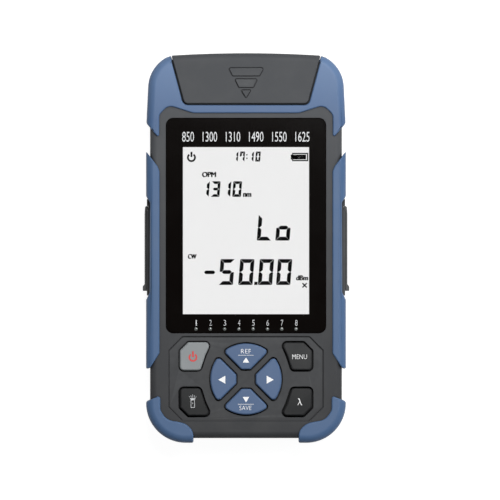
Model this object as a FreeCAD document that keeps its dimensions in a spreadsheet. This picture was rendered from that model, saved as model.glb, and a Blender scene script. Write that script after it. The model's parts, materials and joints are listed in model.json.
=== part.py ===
import FreeCAD, Part
import math
import os
import Sketcher
from FreeCAD import Placement, Rotation, Vector

# Hand-held optical power meter, lying on its back.
# X runs across the width, Y along the length towards the ports, Z out of the display.
# The origin is the middle of the footprint, at the level of the back bumpers.

sizes = (
    ("body_length", 165.0, "over the end bumpers"),
    ("body_width", 84.6, "over the side grips"),
    ("body_depth", 36.0, "back bumpers to front bumpers"),
    ("split_height", 18.0, "parting line of the two case halves"),
    ("skin_side", 1.7, "soft skin on the sides"),
    ("skin_end", 2.0, "soft skin on the ends"),
    ("skin_face", 0.8, "soft skin on front and back"),
    ("skin_fit", 0.03, "skin to case"),
    ("skin_edge", 3.4, "rounding of the skin's long edges"),
    ("skin_corner_top", 14.8, "plan corner of the skin, port end"),
    ("skin_corner_bottom", 16.8, "plan corner of the skin, key end"),
    ("skin_lean", 1.55, "how far the skin's sides lean in at the port end"),
    ("skin_lean_length", 32.5, "leaning part of the skin's sides"),
    ("skin_bend", 60.0, "soft bend where the leaning part starts"),
    ("case_edge", 3.0, "rounding of the case's long edges"),
    ("case_corner_top", 13.6, "plan corner of the case, port end"),
    ("case_corner_bottom", 15.5, "plan corner of the case, key end"),
    ("side_wall", 2.2, "case side wall"),
    ("front_wall", 3.2, "case front wall"),
    ("back_wall", 2.0, "case back wall"),
    ("window_width", 67.7, "display window"),
    ("window_length", 91.0, "display window"),
    ("window_from_top", 27.5, "port end to window"),
    ("window_corner", 3.2, "window corner"),
    ("window_thick", 1.5, "window plate"),
    ("window_clear", 0.15, "gap round the window"),
    ("view_width", 53.4, "visible part of the display"),
    ("view_length", 70.7, "visible part of the display"),
    ("view_from_window", 12.3, "window edge to visible part"),
    ("view_clear", 0.8, "opening in the front wall beyond the visible part"),
    ("lamp_pitch", 6.05, "status lamps"),
    ("lamp_radius", 0.75, "status lamps"),
    ("lamp_clear", 0.15, "gap round a status lamp"),
    ("lamp_inset", 1.7, "window edge to lamp row"),
    ("keys_from_bottom", 27.0, "key end to middle of the direction keys"),
    ("keypad_half_width", 32.7, "eight-sided recess"),
    ("keypad_up", 18.0, "recess above the middle"),
    ("keypad_down", 17.7, "recess below the middle"),
    ("keypad_corner", 5.8, "cut corners of the recess"),
    ("keypad_depth", 0.5, "recess depth"),
    ("keypad_rim", 0.3, "slope of the recess rim"),
    ("keypad_groove", 0.35, "width of the groove at the foot of the rim"),
    ("keypad_sink", 0.4, "depth of the groove at the foot of the rim"),
    ("ring_radius", 15.65, "opening of the direction keys"),
    ("ring_rib", 2.04, "bar between two direction keys"),
    ("ring_inner", 3.55, "middle to a direction key's flat"),
    ("ring_round", 1.8, "corner of a direction key"),
    ("corner_key_outer", 28.6, "middle to outer side"),
    ("corner_key_far", 16.2, "middle to far side"),
    ("corner_key_near", 3.1, "middle to near side"),
    ("corner_key_slope_far", 13.8, "inner side at the far end"),
    ("corner_key_slope_near", 18.9, "inner side at the near end"),
    ("corner_key_cut", 3.9, "cut outer corner"),
    ("corner_key_round", 2.3, "corner rounding"),
    ("corner_key_cut_round", 1.4, "rounding at the cut corner"),
    ("corner_key_waist", 0.45, "hollow of the inner side"),
    ("key_gap", 0.55, "gap round a blue or pale key"),
    ("dark_key_gap", 0.75, "gap round a dark key"),
    ("key_proud", 1.0, "key above the recess"),
    ("key_edge", 0.45, "rounding of a key's top"),
    ("key_travel", 0.8, "key stroke"),
    ("key_lip", 0.7, "flange under the wall"),
    ("key_flange", 1.0, "flange thickness"),
    ("key_rest_gap", 0.2, "flange to wall"),
    ("stem_width", 4.0, "key stem"),
    ("switch_width", 6.0, "key switch"),
    ("switch_height", 3.5, "key switch body"),
    ("plunger_height", 1.5, "key switch plunger"),
    ("plunger_radius", 1.75, "key switch plunger"),
    ("cover_half_top", 31.6, "port cover at the end"),
    ("cover_half_bottom", 26.1, "port cover at its lower edge"),
    ("cover_length", 21.4, "port cover from the end"),
    ("cover_crown", 1.0, "bow of the end edge"),
    ("cover_gap", 0.55, "gap round the cover"),
    ("cover_front", 2.6, "front leaf"),
    ("cover_end", 2.3, "end leaf"),
    ("cover_corner", 2.0, "lower corners of the cover"),
    ("cover_end_edge", 3.0, "rounding between the two leaves"),
    ("cover_side_edge", 0.6, "rounding of the other edges"),
    ("cover_seat", 1.6, "ledge under the front leaf"),
    ("mark_height", 0.25, "raised grip marks"),
    ("mark_edge", 0.2, "chamfer of a mark"),
    ("mark_groove", 0.35, "groove round a mark"),
    ("mark_sink", 0.45, "depth of that groove"),
    ("hinge_radius", 1.6, "cover hinge knuckle"),
    ("hinge_inset", 0.8, "knuckle behind the crown of the end edge"),
    ("hinge_pin_radius", 0.75, "cover hinge pin"),
    ("hinge_lug_width", 3.0, "case lug of the hinge"),
    ("hinge_lug_out", 28.5, "outer face of a lug"),
    ("hinge_clear", 0.3, "hinge side gaps"),
    ("pin_clear", 0.05, "running fit on the pin"),
    ("bay_floor", 17.0, "shelf under the ports"),
    ("port_height", 26.0, "port axes"),
    ("port_spread", 12.0, "middle to each port"),
    ("ferrule_bore", 2.52, "for 2.5 mm ferrules"),
    ("port_length", 11.5, "port beyond the plate"),
    ("plate_thick", 1.2, "port plate"),
    ("torch_height", 8.8, "torch axis"),
    ("torch_radius", 3.4, "torch lens"),
    ("torch_wall", 3.4, "shell end to the torch room"),
    ("port_frame_in", 0.3, "side of the skin to port frame"),
    ("port_frame_up", 20.7, "frame towards the ports"),
    ("port_frame_down", 20.1, "frame towards the keys"),
    ("port_frame_half", 10.0, "half the frame's height"),
    ("flap_thick", 0.9, "side flap"),
    ("flap_half_height", 8.6, "side flap"),
    ("flap_down", 18.2, "flap's lower end"),
    ("flap_hinge", 17.0, "flap's hinge roll"),
    ("flap_roll", 0.8, "hinge roll radius"),
    ("flap_clear", 0.08, "flap to frame"),
    ("flap_tab", 0.8, "pull tab beyond the flap"),
    ("jack_width", 16.0, "network jack"),
    ("jack_height", 13.4, "network jack"),
    ("jack_depth", 16.4, "network jack"),
    ("jack_shift", 4.5, "jack centre towards the ports"),
    ("jack_clear", 0.15, "jack in the case wall"),
    ("plug_width", 11.7, "network plug opening"),
    ("plug_height", 8.3, "network plug opening"),
    ("charge_width", 9.2, "charging socket"),
    ("charge_height", 3.4, "charging socket"),
    ("charge_depth", 8.0, "charging socket"),
    ("charge_wall", 0.4, "charging socket"),
    ("charge_shift", -11.3, "charging socket centre"),
    ("post_above_jack", 15.2, "network jack to upper board posts"),
    ("post_below_charge", 13.6, "charging socket to lower board posts"),
    ("board_thick", 1.6, "main board"),
    ("bay_ceiling", 1.2, "wall between cells and board"),
    ("board_gap", 0.3, "ceiling to board"),
    ("board_clear", 0.8, "board to case wall"),
    ("post_inset", 5.8, "case side to board post"),
    ("post_radius", 2.6, "board post"),
    ("display_thick", 2.6, "display glass"),
    ("display_border", 3.3, "glass beyond the visible part"),
    ("holder_thick", 3.4, "display holder"),
    ("cell_radius", 7.25, "AA cell"),
    ("cell_length", 50.5, "AA cell with its button"),
    ("cell_gap", 0.25, "between cells"),
    ("bay_from_bottom", 10.4, "key end to battery bay"),
    ("door_thick", 1.8, "battery door"),
    ("door_lap", 1.3, "door beyond the bay"),
    ("door_clear", 0.25, "gap round the door"),
    ("door_tab_half", 6.0, "tab for the door's screw"),
    ("door_tab_length", 7.0, "tab for the door's screw"),
    ("door_screw_up", 3.4, "door to its screw"),
    ("contact_half", 4.5, "battery contact plate"),
    ("boss_radius", 3.6, "case screw boss"),
    ("boss_inset", 7.6, "case side to boss"),
    ("boss_top_inset", 32.5, "port end to upper bosses"),
    ("boss_bottom_inset", 26.0, "key end to lower bosses"),
    ("screw_radius", 1.3, "case screw"),
    ("screw_head", 2.5, "case screw head"),
    ("seal_width", 0.9, "gasket"),
    ("seal_height", 0.7, "gasket"),
    ("seal_clear", 0.05, "gasket in its groove"),
    ("grip_width", 5.7, "side grip on the front"),
    ("grip_up", 41.3, "grip's upper tip"),
    ("grip_down", 51.4, "grip's lower tip"),
    ("notch_up", 22.1, "port notch in the grip"),
    ("notch_down", 22.4, "port notch in the grip"),
    ("leg_width", 5.6, "leg of the top bumper"),
    ("leg_tip", 36.35, "port end to the leg's tip"),
    ("band_bottom", 25.4, "port end to the band's lower edge"),
    ("band_flat", 22.5, "flat half of the band's lower edge"),
    ("guard_width", 6.2, "corner bumper on the sides"),
    ("guard_reach", 20.0, "corner bumper along the end"),
    ("guard_up", 20.2, "key end to the corner bumper's tip"),
)

doc = FreeCAD.newDocument("OpticalPowerMeter")
sheet = doc.addObject("Spreadsheet::Sheet", "Sizes")
for row, (alias, number, note) in enumerate(sizes, start=1):
    sheet.set("A%d" % row, alias)
    sheet.set("B%d" % row, repr(number))
    sheet.setAlias("B%d" % row, alias)
    sheet.set("C%d" % row, note)
doc.recompute()


class Size:
    """A length in mm with the sheet expression that gives it."""

    def __init__(self, number, text):
        self.number = float(number)
        self.text = text

    def __add__(self, other):
        other = as_size(other)
        return Size(self.number + other.number, "(%s + %s)" % (self.text, other.text))

    def __sub__(self, other):
        other = as_size(other)
        return Size(self.number - other.number, "(%s - %s)" % (self.text, other.text))

    def __mul__(self, other):
        other = as_size(other)
        return Size(self.number * other.number, "(%s * %s)" % (self.text, other.text))

    def __truediv__(self, other):
        other = as_size(other)
        return Size(self.number / other.number, "(%s / %s)" % (self.text, other.text))

    def __neg__(self):
        return Size(-self.number, "(0 - %s)" % self.text)

    def __radd__(self, other):
        return as_size(other) + self

    def __rsub__(self, other):
        return as_size(other) - self

    def __rmul__(self, other):
        return as_size(other) * self


def as_size(value):
    if isinstance(value, Size):
        return value
    return Size(value, "%.6g" % value)


def root(value):
    return Size(math.sqrt(value.number), "sqrt(%s)" % value.text)


def cell(alias):
    return Size(sheet.get(alias), "Sizes." + alias)


# Places that several pieces share.
half_width = cell("body_width") / 2
top_end = cell("body_length") / 2
bottom_end = -top_end
case_half = half_width - cell("skin_side")
case_top = top_end - cell("skin_end")
case_bottom = -case_top
case_front = cell("body_depth") - cell("skin_face")
case_back = cell("skin_face")
split = cell("split_height")
inner_half = case_half - cell("side_wall")
inner_bottom = case_bottom + cell("side_wall")
ledge = case_front - cell("front_wall")
back_floor = case_back + cell("back_wall")
window_top = top_end - cell("window_from_top")
window_bottom = window_top - cell("window_length")
view_top = window_top - cell("view_from_window")
view_bottom = view_top - cell("view_length")
bay_top = back_floor + cell("cell_radius") * 2 + 0.6
board_bottom = bay_top + cell("bay_ceiling") + cell("board_gap")
board_top = board_bottom + cell("board_thick")
keys_middle = bottom_end + cell("keys_from_bottom")
keypad_floor = case_front - cell("keypad_depth")
key_top = keypad_floor + cell("key_proud")
flange_top = ledge - cell("key_rest_gap")
flange_bottom = flange_top - cell("key_flange")
plunger_top = board_top + cell("switch_height") + cell("plunger_height")
stem_bottom = plunger_top + cell("key_travel") + 0.2
cover_bottom = top_end - cell("cover_length")
cover_shoulder = top_end - cell("cover_crown")
leaf_under = cell("body_depth") - cell("cover_front")
end_inside = top_end - cell("cover_end")
shell_end = end_inside - 0.3
hinge_y = top_end - cell("hinge_radius") - cell("hinge_inset")
hinge_z = case_back + cell("hinge_radius")
bay_end = cover_bottom + cell("cover_seat")
port_wall = cover_bottom - 1.8
port_tip = bay_end + cell("plate_thick") + cell("port_length")
frame_out = half_width - cell("port_frame_in")
frame_low = split - cell("port_frame_half")
frame_high = split + cell("port_frame_half")
jack_low = split - cell("jack_height") / 2
jack_high = split + cell("jack_height") / 2
jack_face = frame_out - 0.6
bay_low = bottom_end + cell("bay_from_bottom")
bay_high = bay_low + cell("cell_radius") * 6 + cell("cell_gap") * 4
bay_half = cell("cell_length") / 2 + 2.45
torch_room = shell_end - cell("torch_wall")
door_half = bay_half + cell("door_lap")
door_low = bay_low - cell("door_lap")
door_high = bay_high + cell("door_lap")
door_top = case_back + cell("door_thick")
door_screw_y = door_high + cell("door_screw_up")
boss_x = case_half - cell("boss_inset")
boss_high = top_end - cell("boss_top_inset")
boss_low = bottom_end + cell("boss_bottom_inset")
post_x = case_half - cell("post_inset")
post_high = cell("jack_shift") + cell("jack_width") / 2 + cell("post_above_jack")
post_low = cell("charge_shift") - cell("charge_width") / 2 - cell("post_below_charge")

nodes = []


def add_node(piece, label):
    piece.Label = label
    nodes.append(piece)
    return piece


def new_body(label):
    return doc.addObject("PartDesign::Body", label)


def add_sketch(body, name, role, offset):
    sketch = body.newObject("Sketcher::SketchObject", name)
    plane = [item for item in body.Origin.OriginFeatures if item.Role == role][0]
    sketch.AttachmentSupport = [(plane, "")]
    sketch.MapMode = "FlatFace"
    sketch.AttachmentOffset = Placement(Vector(0, 0, offset.number), Rotation())
    sketch.setExpression("AttachmentOffset.Base.z", offset.text)
    return sketch


def bind_constraints(sketch, constraints):
    """Add the constraints, then tie each one that has a size to the sheet."""
    first = sketch.ConstraintCount
    sketch.addConstraint([constraint for constraint, size in constraints])
    for number, (constraint, size) in enumerate(constraints):
        if size is not None:
            sketch.setExpression("Constraints[%d]" % (first + number), size.text)


def place_point(geometry, end, x, y):
    return [
        (Sketcher.Constraint("DistanceX", -1, 1, geometry, end, x.number), x),
        (Sketcher.Constraint("DistanceY", -1, 1, geometry, end, y.number), y),
    ]


def bowed_side(first, last, radius):
    """An arc that bulges out of an outline drawn anticlockwise."""
    half = (last - first) / 2
    inward = Vector(-half.y, half.x, 0).normalize()
    centre = first + half + inward * math.sqrt(radius**2 - half.Length**2)
    ends = [math.atan2(point.y - centre.y, point.x - centre.x) for point in (first, last)]
    return Part.ArcOfCircle(Part.Circle(centre, Vector(0, 0, 1), radius), ends[0], ends[1])


def draw_outline(sketch, corners, bowed=None, bow=None):
    """A closed outline; a corner is (x, y) or (x, y, radius), and one side may be bowed."""
    corners = [tuple(as_size(value) for value in corner) for corner in corners]
    points = [Vector(corner[0].number, corner[1].number, 0) for corner in corners]
    count = len(corners)
    starts = list(points)
    ends = list(points)
    arcs = {}
    for index, corner in enumerate(corners):
        if len(corner) < 3:
            continue
        point = points[index]
        back = (points[index - 1] - point).normalize()
        ahead = (points[(index + 1) % count] - point).normalize()
        half = back.getAngle(ahead) / 2
        radius = corner[2].number
        starts[index] = point + back * (radius / math.tan(half))
        ends[index] = point + ahead * (radius / math.tan(half))
        centre = point + (back + ahead).normalize() * (radius / math.sin(half))
        arcs[index] = (centre, radius, back.cross(ahead).z < 0)
    sides = []
    constraints = []
    for index in range(count):
        first, last = ends[index], starts[(index + 1) % count]
        if index != bowed:
            sides.append(sketch.addGeometry(Part.LineSegment(first, last), False))
            continue
        sides.append(sketch.addGeometry(bowed_side(first, last, bow.number), False))
        constraints.append((Sketcher.Constraint("Radius", sides[-1], bow.number), bow))
    for index, corner in enumerate(corners):
        before, after = sides[index - 1], sides[index]
        if index not in arcs:
            constraints.append((Sketcher.Constraint("Coincident", before, 2, after, 1), None))
            constraints += place_point(after, 1, corner[0], corner[1])
            continue
        centre, radius, forward = arcs[index]
        first = starts[index] - centre
        last = ends[index] - centre
        angles = [math.atan2(first.y, first.x), math.atan2(last.y, last.x)]
        if not forward:
            angles.reverse()
        circle = Part.Circle(centre, Vector(0, 0, 1), radius)
        arc = sketch.addGeometry(Part.ArcOfCircle(circle, angles[0], angles[1]), False)
        tip = sketch.addGeometry(Part.Point(points[index]), True)
        head, tail = (1, 2) if forward else (2, 1)
        constraints += [
            (Sketcher.Constraint("Tangent", before, 2, arc, head), None),
            (Sketcher.Constraint("Tangent", after, 1, arc, tail), None),
            (Sketcher.Constraint("Radius", arc, radius), corner[2]),
            (Sketcher.Constraint("PointOnObject", tip, 1, before), None),
            (Sketcher.Constraint("PointOnObject", tip, 1, after), None),
        ]
        constraints += place_point(tip, 1, corner[0], corner[1])
    bind_constraints(sketch, constraints)


def draw_circle(sketch, x, y, radius):
    x, y, radius = as_size(x), as_size(y), as_size(radius)
    centre = Vector(x.number, y.number, 0)
    circle = sketch.addGeometry(Part.Circle(centre, Vector(0, 0, 1), radius.number), False)
    constraints = [(Sketcher.Constraint("Radius", circle, radius.number), radius)]
    bind_constraints(sketch, constraints + place_point(circle, 3, x, y))


def draw_shapes(sketch, shapes):
    """A list is an outline, a tuple (x, y, radius) is a circle."""
    for shape in shapes:
        if isinstance(shape, tuple):
            draw_circle(sketch, *shape)
        else:
            draw_outline(sketch, shape)


def extrude_sketch(body, kind, sketch, length, reverse=False):
    before = body.Shape.Volume if body.Tip else 0.0
    feature = body.newObject("PartDesign::" + kind, kind + sketch.Name)
    feature.Profile = sketch
    feature.Length = length.number
    feature.setExpression("Length", length.text)
    feature.Reversed = reverse
    doc.recompute()
    grown = body.Shape.Volume > before
    if grown != (kind == "Pad"):
        raise RuntimeError("%s changes nothing in %s" % (feature.Label, body.Label))
    return feature


def pad_up(body, name, shapes, low, high):
    low, high = as_size(low), as_size(high)
    sketch = add_sketch(body, name, "XY_Plane", low)
    draw_shapes(sketch, shapes)
    return extrude_sketch(body, "Pad", sketch, high - low)


def cut_down(body, name, shapes, low, high):
    low, high = as_size(low), as_size(high)
    sketch = add_sketch(body, name, "XY_Plane", high)
    draw_shapes(sketch, shapes)
    return extrude_sketch(body, "Pocket", sketch, high - low)


def pad_along_y(body, name, shapes, near, far):
    near, far = as_size(near), as_size(far)
    sketch = add_sketch(body, name, "XZ_Plane", -far)
    draw_shapes(sketch, shapes)
    return extrude_sketch(body, "Pad", sketch, far - near)


def cut_along_y(body, name, shapes, near, far):
    near, far = as_size(near), as_size(far)
    sketch = add_sketch(body, name, "XZ_Plane", -near)
    draw_shapes(sketch, shapes)
    return extrude_sketch(body, "Pocket", sketch, far - near)


def pad_along_x(body, name, shapes, near, far):
    near, far = as_size(near), as_size(far)
    sketch = add_sketch(body, name, "YZ_Plane", near)
    draw_shapes(sketch, shapes)
    return extrude_sketch(body, "Pad", sketch, far - near)


def cut_along_x(body, name, shapes, near, far):
    near, far = as_size(near), as_size(far)
    sketch = add_sketch(body, name, "YZ_Plane", far)
    draw_shapes(sketch, shapes)
    return extrude_sketch(body, "Pocket", sketch, far - near)


def dress_edges(body, kind, name, amount, wanted):
    """Round or chamfer every edge of the body's last feature that the test picks."""
    base = body.Tip
    names = []
    for number, edge in enumerate(base.Shape.Edges, start=1):
        if wanted(edge):
            names.append("Edge%d" % number)
    if not names:
        raise RuntimeError("no edge to dress in " + body.Label)
    feature = body.newObject("PartDesign::" + kind, name)
    feature.Base = (base, names)
    dimension = "Radius" if kind == "Fillet" else "Size"
    setattr(feature, dimension, amount.number)
    feature.setExpression(dimension, amount.text)
    doc.recompute()
    return feature


def round_edges(body, name, radius, wanted):
    return dress_edges(body, "Fillet", name, radius, wanted)


def lies_at(edge, level):
    box = edge.BoundBox
    return abs(box.ZMin - level.number) < 1e-4 and abs(box.ZMax - level.number) < 1e-4


def lies_at_between(edge, level, low, high):
    """An edge at a level whose far end lies between two places along the length."""
    return lies_at(edge, level) and low.number - 0.01 < edge.BoundBox.YMax < high.number + 0.01


def rectangle(left, right, low, high, *radius):
    return [
        (left, low) + radius,
        (right, low) + radius,
        (right, high) + radius,
        (left, high) + radius,
    ]


def mirrored(outline):
    return [(-as_size(corner[0]),) + tuple(corner[1:]) for corner in outline]


def flipped(outline, middle):
    """The same outline turned over about the height of the middle."""
    turned = []
    for corner in outline:
        turned.append((corner[0], middle * 2 - corner[1]) + tuple(corner[2:]))
    return turned


def place_at(piece, x, y, z):
    for axis, value in zip("xyz", (x, y, z)):
        value = as_size(value)
        setattr(piece.Placement.Base, axis, value.number)
        piece.setExpression("Placement.Base." + axis, value.text)


def box(name, x, y, z):
    """A block between two ends on each axis."""
    block = doc.addObject("Part::Box", name)
    place_at(block, x[0], y[0], z[0])
    for dimension, ends in zip(("Length", "Width", "Height"), (x, y, z)):
        block.setExpression(dimension, (as_size(ends[1]) - ends[0]).text)
    return block


directions = {
    "x": Rotation(Vector(0, 1, 0), 90),
    "y": Rotation(Vector(1, 0, 0), -90),
    "z": Rotation(),
}


def rod(name, direction, x, y, z, radius, length):
    """A cylinder that starts at a point and runs along an axis."""
    cylinder = doc.addObject("Part::Cylinder", name)
    cylinder.Placement = Placement(Vector(), directions[direction])
    place_at(cylinder, x, y, z)
    cylinder.setExpression("Radius", as_size(radius).text)
    cylinder.setExpression("Height", as_size(length).text)
    return cylinder


def fuse(name, pieces):
    joined = doc.addObject("Part::MultiFuse", name)
    joined.Shapes = pieces
    return joined


def cut(name, base, tools):
    result = doc.addObject("Part::Cut", name)
    result.Base = base
    result.Tool = tools[0] if len(tools) == 1 else fuse(name + "Tools", tools)
    return result


def group(name, pieces):
    together = doc.addObject("Part::Compound", name)
    together.Links = pieces
    return together


def mirror(name, source):
    other = doc.addObject("Part::Mirroring", name)
    other.Source = source
    other.Normal = Vector(1, 0, 0)
    return other


def inset(outline, distance):
    """The outline, drawn anticlockwise, moved inwards by a distance."""
    corners = [tuple(as_size(value) for value in corner) for corner in outline]
    moved = []
    for index, corner in enumerate(corners):
        following = corners[(index + 1) % len(corners)]
        normals = []
        for start, end in ((corners[index - 1], corner), (corner, following)):
            run = end[0] - start[0]
            rise = end[1] - start[1]
            length = root(run * run + rise * rise)
            normals.append((-rise / length, run / length))
        (ax, ay), (bx, by) = normals
        share = as_size(distance) / (1 + ax * bx + ay * by)
        place = (corner[0] + share * (ax + bx), corner[1] + share * (ay + by))
        moved.append(place + tuple(radius - distance for radius in corner[2:]))
    return moved


def case_outline(half, low, high, low_corner, high_corner):
    return [
        (-half, low, low_corner),
        (half, low, low_corner),
        (half, high, high_corner),
        (-half, high, high_corner),
    ]


def cover_side(height, grow):
    """Distance from the middle to the cover's slanted side, moved out by grow."""
    slope = (cell("cover_half_top") - cell("cover_half_bottom")) / (cover_shoulder - cover_bottom)
    return cell("cover_half_bottom") + slope * (height - cover_bottom) + grow * root(1 + slope * slope)


def cover_recess(grow):
    """The cover's outline moved out by grow and run on past the end of the case."""
    low = cover_bottom - grow
    high = top_end + 5
    corner = cell("cover_corner") + grow
    return [
        (-cover_side(low, grow), low, corner),
        (cover_side(low, grow), low, corner),
        (cover_side(high, grow), high),
        (-cover_side(high, grow), high),
    ]


def corner_key_outline():
    """Upper right key, from the middle of the direction keys."""
    outer = cell("corner_key_outer")
    near = keys_middle + cell("corner_key_near")
    far = keys_middle + cell("corner_key_far")
    cut_size = cell("corner_key_cut")
    corner = cell("corner_key_round")
    cut_corner = cell("corner_key_cut_round")
    waist = (cell("corner_key_slope_near") + cell("corner_key_slope_far")) / 2 + cell("corner_key_waist")
    return [
        (cell("corner_key_slope_near"), near, corner),
        (outer, near, corner),
        (outer, far - cut_size, cut_corner),
        (outer - cut_size, far, cut_corner),
        (cell("corner_key_slope_far"), far, corner),
        (waist, (near + far) / 2, corner * 5),
    ]


turns = {"right": (1, 0), "up": (0, 1), "left": (-1, 0), "down": (0, -1)}


def draw_direction_key(sketch, side, shrink):
    """A sector between two diagonal bars, cut flat towards the middle."""
    ring = cell("ring_radius") - shrink
    bar = cell("ring_rib") * math.sqrt(0.5) + shrink * math.sqrt(2.0)
    flat = cell("ring_inner") + shrink
    reach = (bar + root(2 * ring * ring - bar * bar)) / 2
    across, along = turns[side]
    corners = []
    sector = ((flat, bar - flat), (reach, bar - reach), (reach, reach - bar), (flat, flat - bar))
    for out, aside in sector:
        corners.append((out * across - aside * along, keys_middle + out * along + aside * across))
    draw_outline(sketch, corners, 1, ring)


def ring_corner(edge, outer):
    """Upright edges of the direction keys: the outer pair or the pair at the flat."""
    box = edge.BoundBox
    if box.XLength > 1e-4 or box.YLength > 1e-4:
        return False
    reach = math.hypot(box.XMin, box.YMin - keys_middle.number)
    middle = (cell("ring_radius") * 0.6).number
    limit = cell("ring_radius").number + 0.01
    return middle < reach < limit if outer else reach < middle


def cap_corner(edge, outer):
    """The same upright edges on a key's cap, above its flange."""
    return abs(edge.BoundBox.ZMax - key_top.number) < 1e-4 and ring_corner(edge, outer)


def frame_outline(side):
    out = frame_out
    low = -cell("port_frame_down")
    high = cell("port_frame_up")
    outline = rectangle(case_half - 3, out, low, high)
    return outline if side > 0 else mirrored(outline)


def jack_outline(side, back, front):
    low = cell("jack_shift") - cell("jack_width") / 2 - cell("jack_clear")
    high = cell("jack_shift") + cell("jack_width") / 2 + cell("jack_clear")
    outline = rectangle(back, front, low, high)
    return outline if side > 0 else mirrored(outline)


def charge_outline(back, front, grow):
    low = cell("charge_shift") - cell("charge_width") / 2 - grow
    high = cell("charge_shift") + cell("charge_width") / 2 + grow
    return mirrored(rectangle(back, front, low, high))


def boss_places():
    for x in (boss_x, -boss_x):
        for y in (boss_high, boss_low):
            yield x, y


def post_places():
    for x in (post_x, -post_x):
        for y in (post_high, post_low):
            yield x, y


def lamp_places():
    """The row of status lamps across the window's lower edge."""
    for number in range(8):
        yield cell("lamp_pitch") * (number - 3.5), window_bottom + cell("lamp_inset")


def key_places():
    """Name and stem centre of every key."""
    ring = (cell("ring_radius") + cell("ring_inner")) * 0.47
    side = (cell("corner_key_outer") + cell("corner_key_slope_near")) * 0.475
    rise = (cell("corner_key_far") + cell("corner_key_near")) / 2
    return {
        "key_up": (as_size(0), keys_middle + ring),
        "key_down": (as_size(0), keys_middle - ring),
        "key_left": (-ring, keys_middle),
        "key_right": (ring, keys_middle),
        "key_power": (-side, keys_middle + rise),
        "key_menu": (side, keys_middle + rise),
        "key_torch": (-side, keys_middle - rise),
        "key_wavelength": (side, keys_middle - rise),
    }


def corner_key_outlines(shrink):
    """The four corner keys; the lower pair mirrors the upper pair."""
    right = inset(corner_key_outline(), shrink)
    low_right = flipped(right, keys_middle)
    return {
        "key_power": mirrored(right),
        "key_menu": right,
        "key_torch": mirrored(low_right),
        "key_wavelength": low_right,
    }


def rounded_block(label, outline, floor, roof, edge):
    """Envelope of the case or of its soft skin."""
    body = new_body(label)
    pad_up(body, "Outline" + label, [outline], floor, roof)
    round_edges(body, "Edges" + label, edge, lambda item: lies_at(item, floor) or lies_at(item, roof))
    return body


def make_half_shell(label, low, high, outer):
    """The walls that both halves share, with the side port frames."""
    body = new_body(label)
    corners = (cell("case_corner_bottom"), cell("case_corner_top"))
    outline = case_outline(case_half, case_bottom, case_top, *corners)
    pad_up(body, "Walls" + label, [outline], low, high)
    round_edges(body, "LongEdges" + label, cell("case_edge"), lambda edge: lies_at(edge, outer))
    frame = (split, frame_high) if outer.number > split.number else (frame_low, split)
    pad_up(body, "PortFrames" + label, [frame_outline(1), frame_outline(-1)], *frame)
    return body


def cut_side_openings(body, label, low, high, charge_low, charge_high):
    """Openings for the jacks and the charging socket, and the flaps' hinge grooves."""
    back = case_half - 4
    front = frame_out + 1
    jacks = [jack_outline(1, back, front), jack_outline(-1, back, front)]
    cut_down(body, "Jacks" + label, jacks, low[0], high[0])
    socket = [charge_outline(back, front, cell("jack_clear"))]
    cut_down(body, "Charging" + label, socket, charge_low, charge_high)
    out = frame_out
    groove = cell("flap_roll") + cell("flap_clear")
    rolls = [(out, cell("flap_hinge"), groove), (-out, cell("flap_hinge"), groove)]
    cut_down(body, "Grooves" + label, rolls, low[1], high[1])


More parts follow.
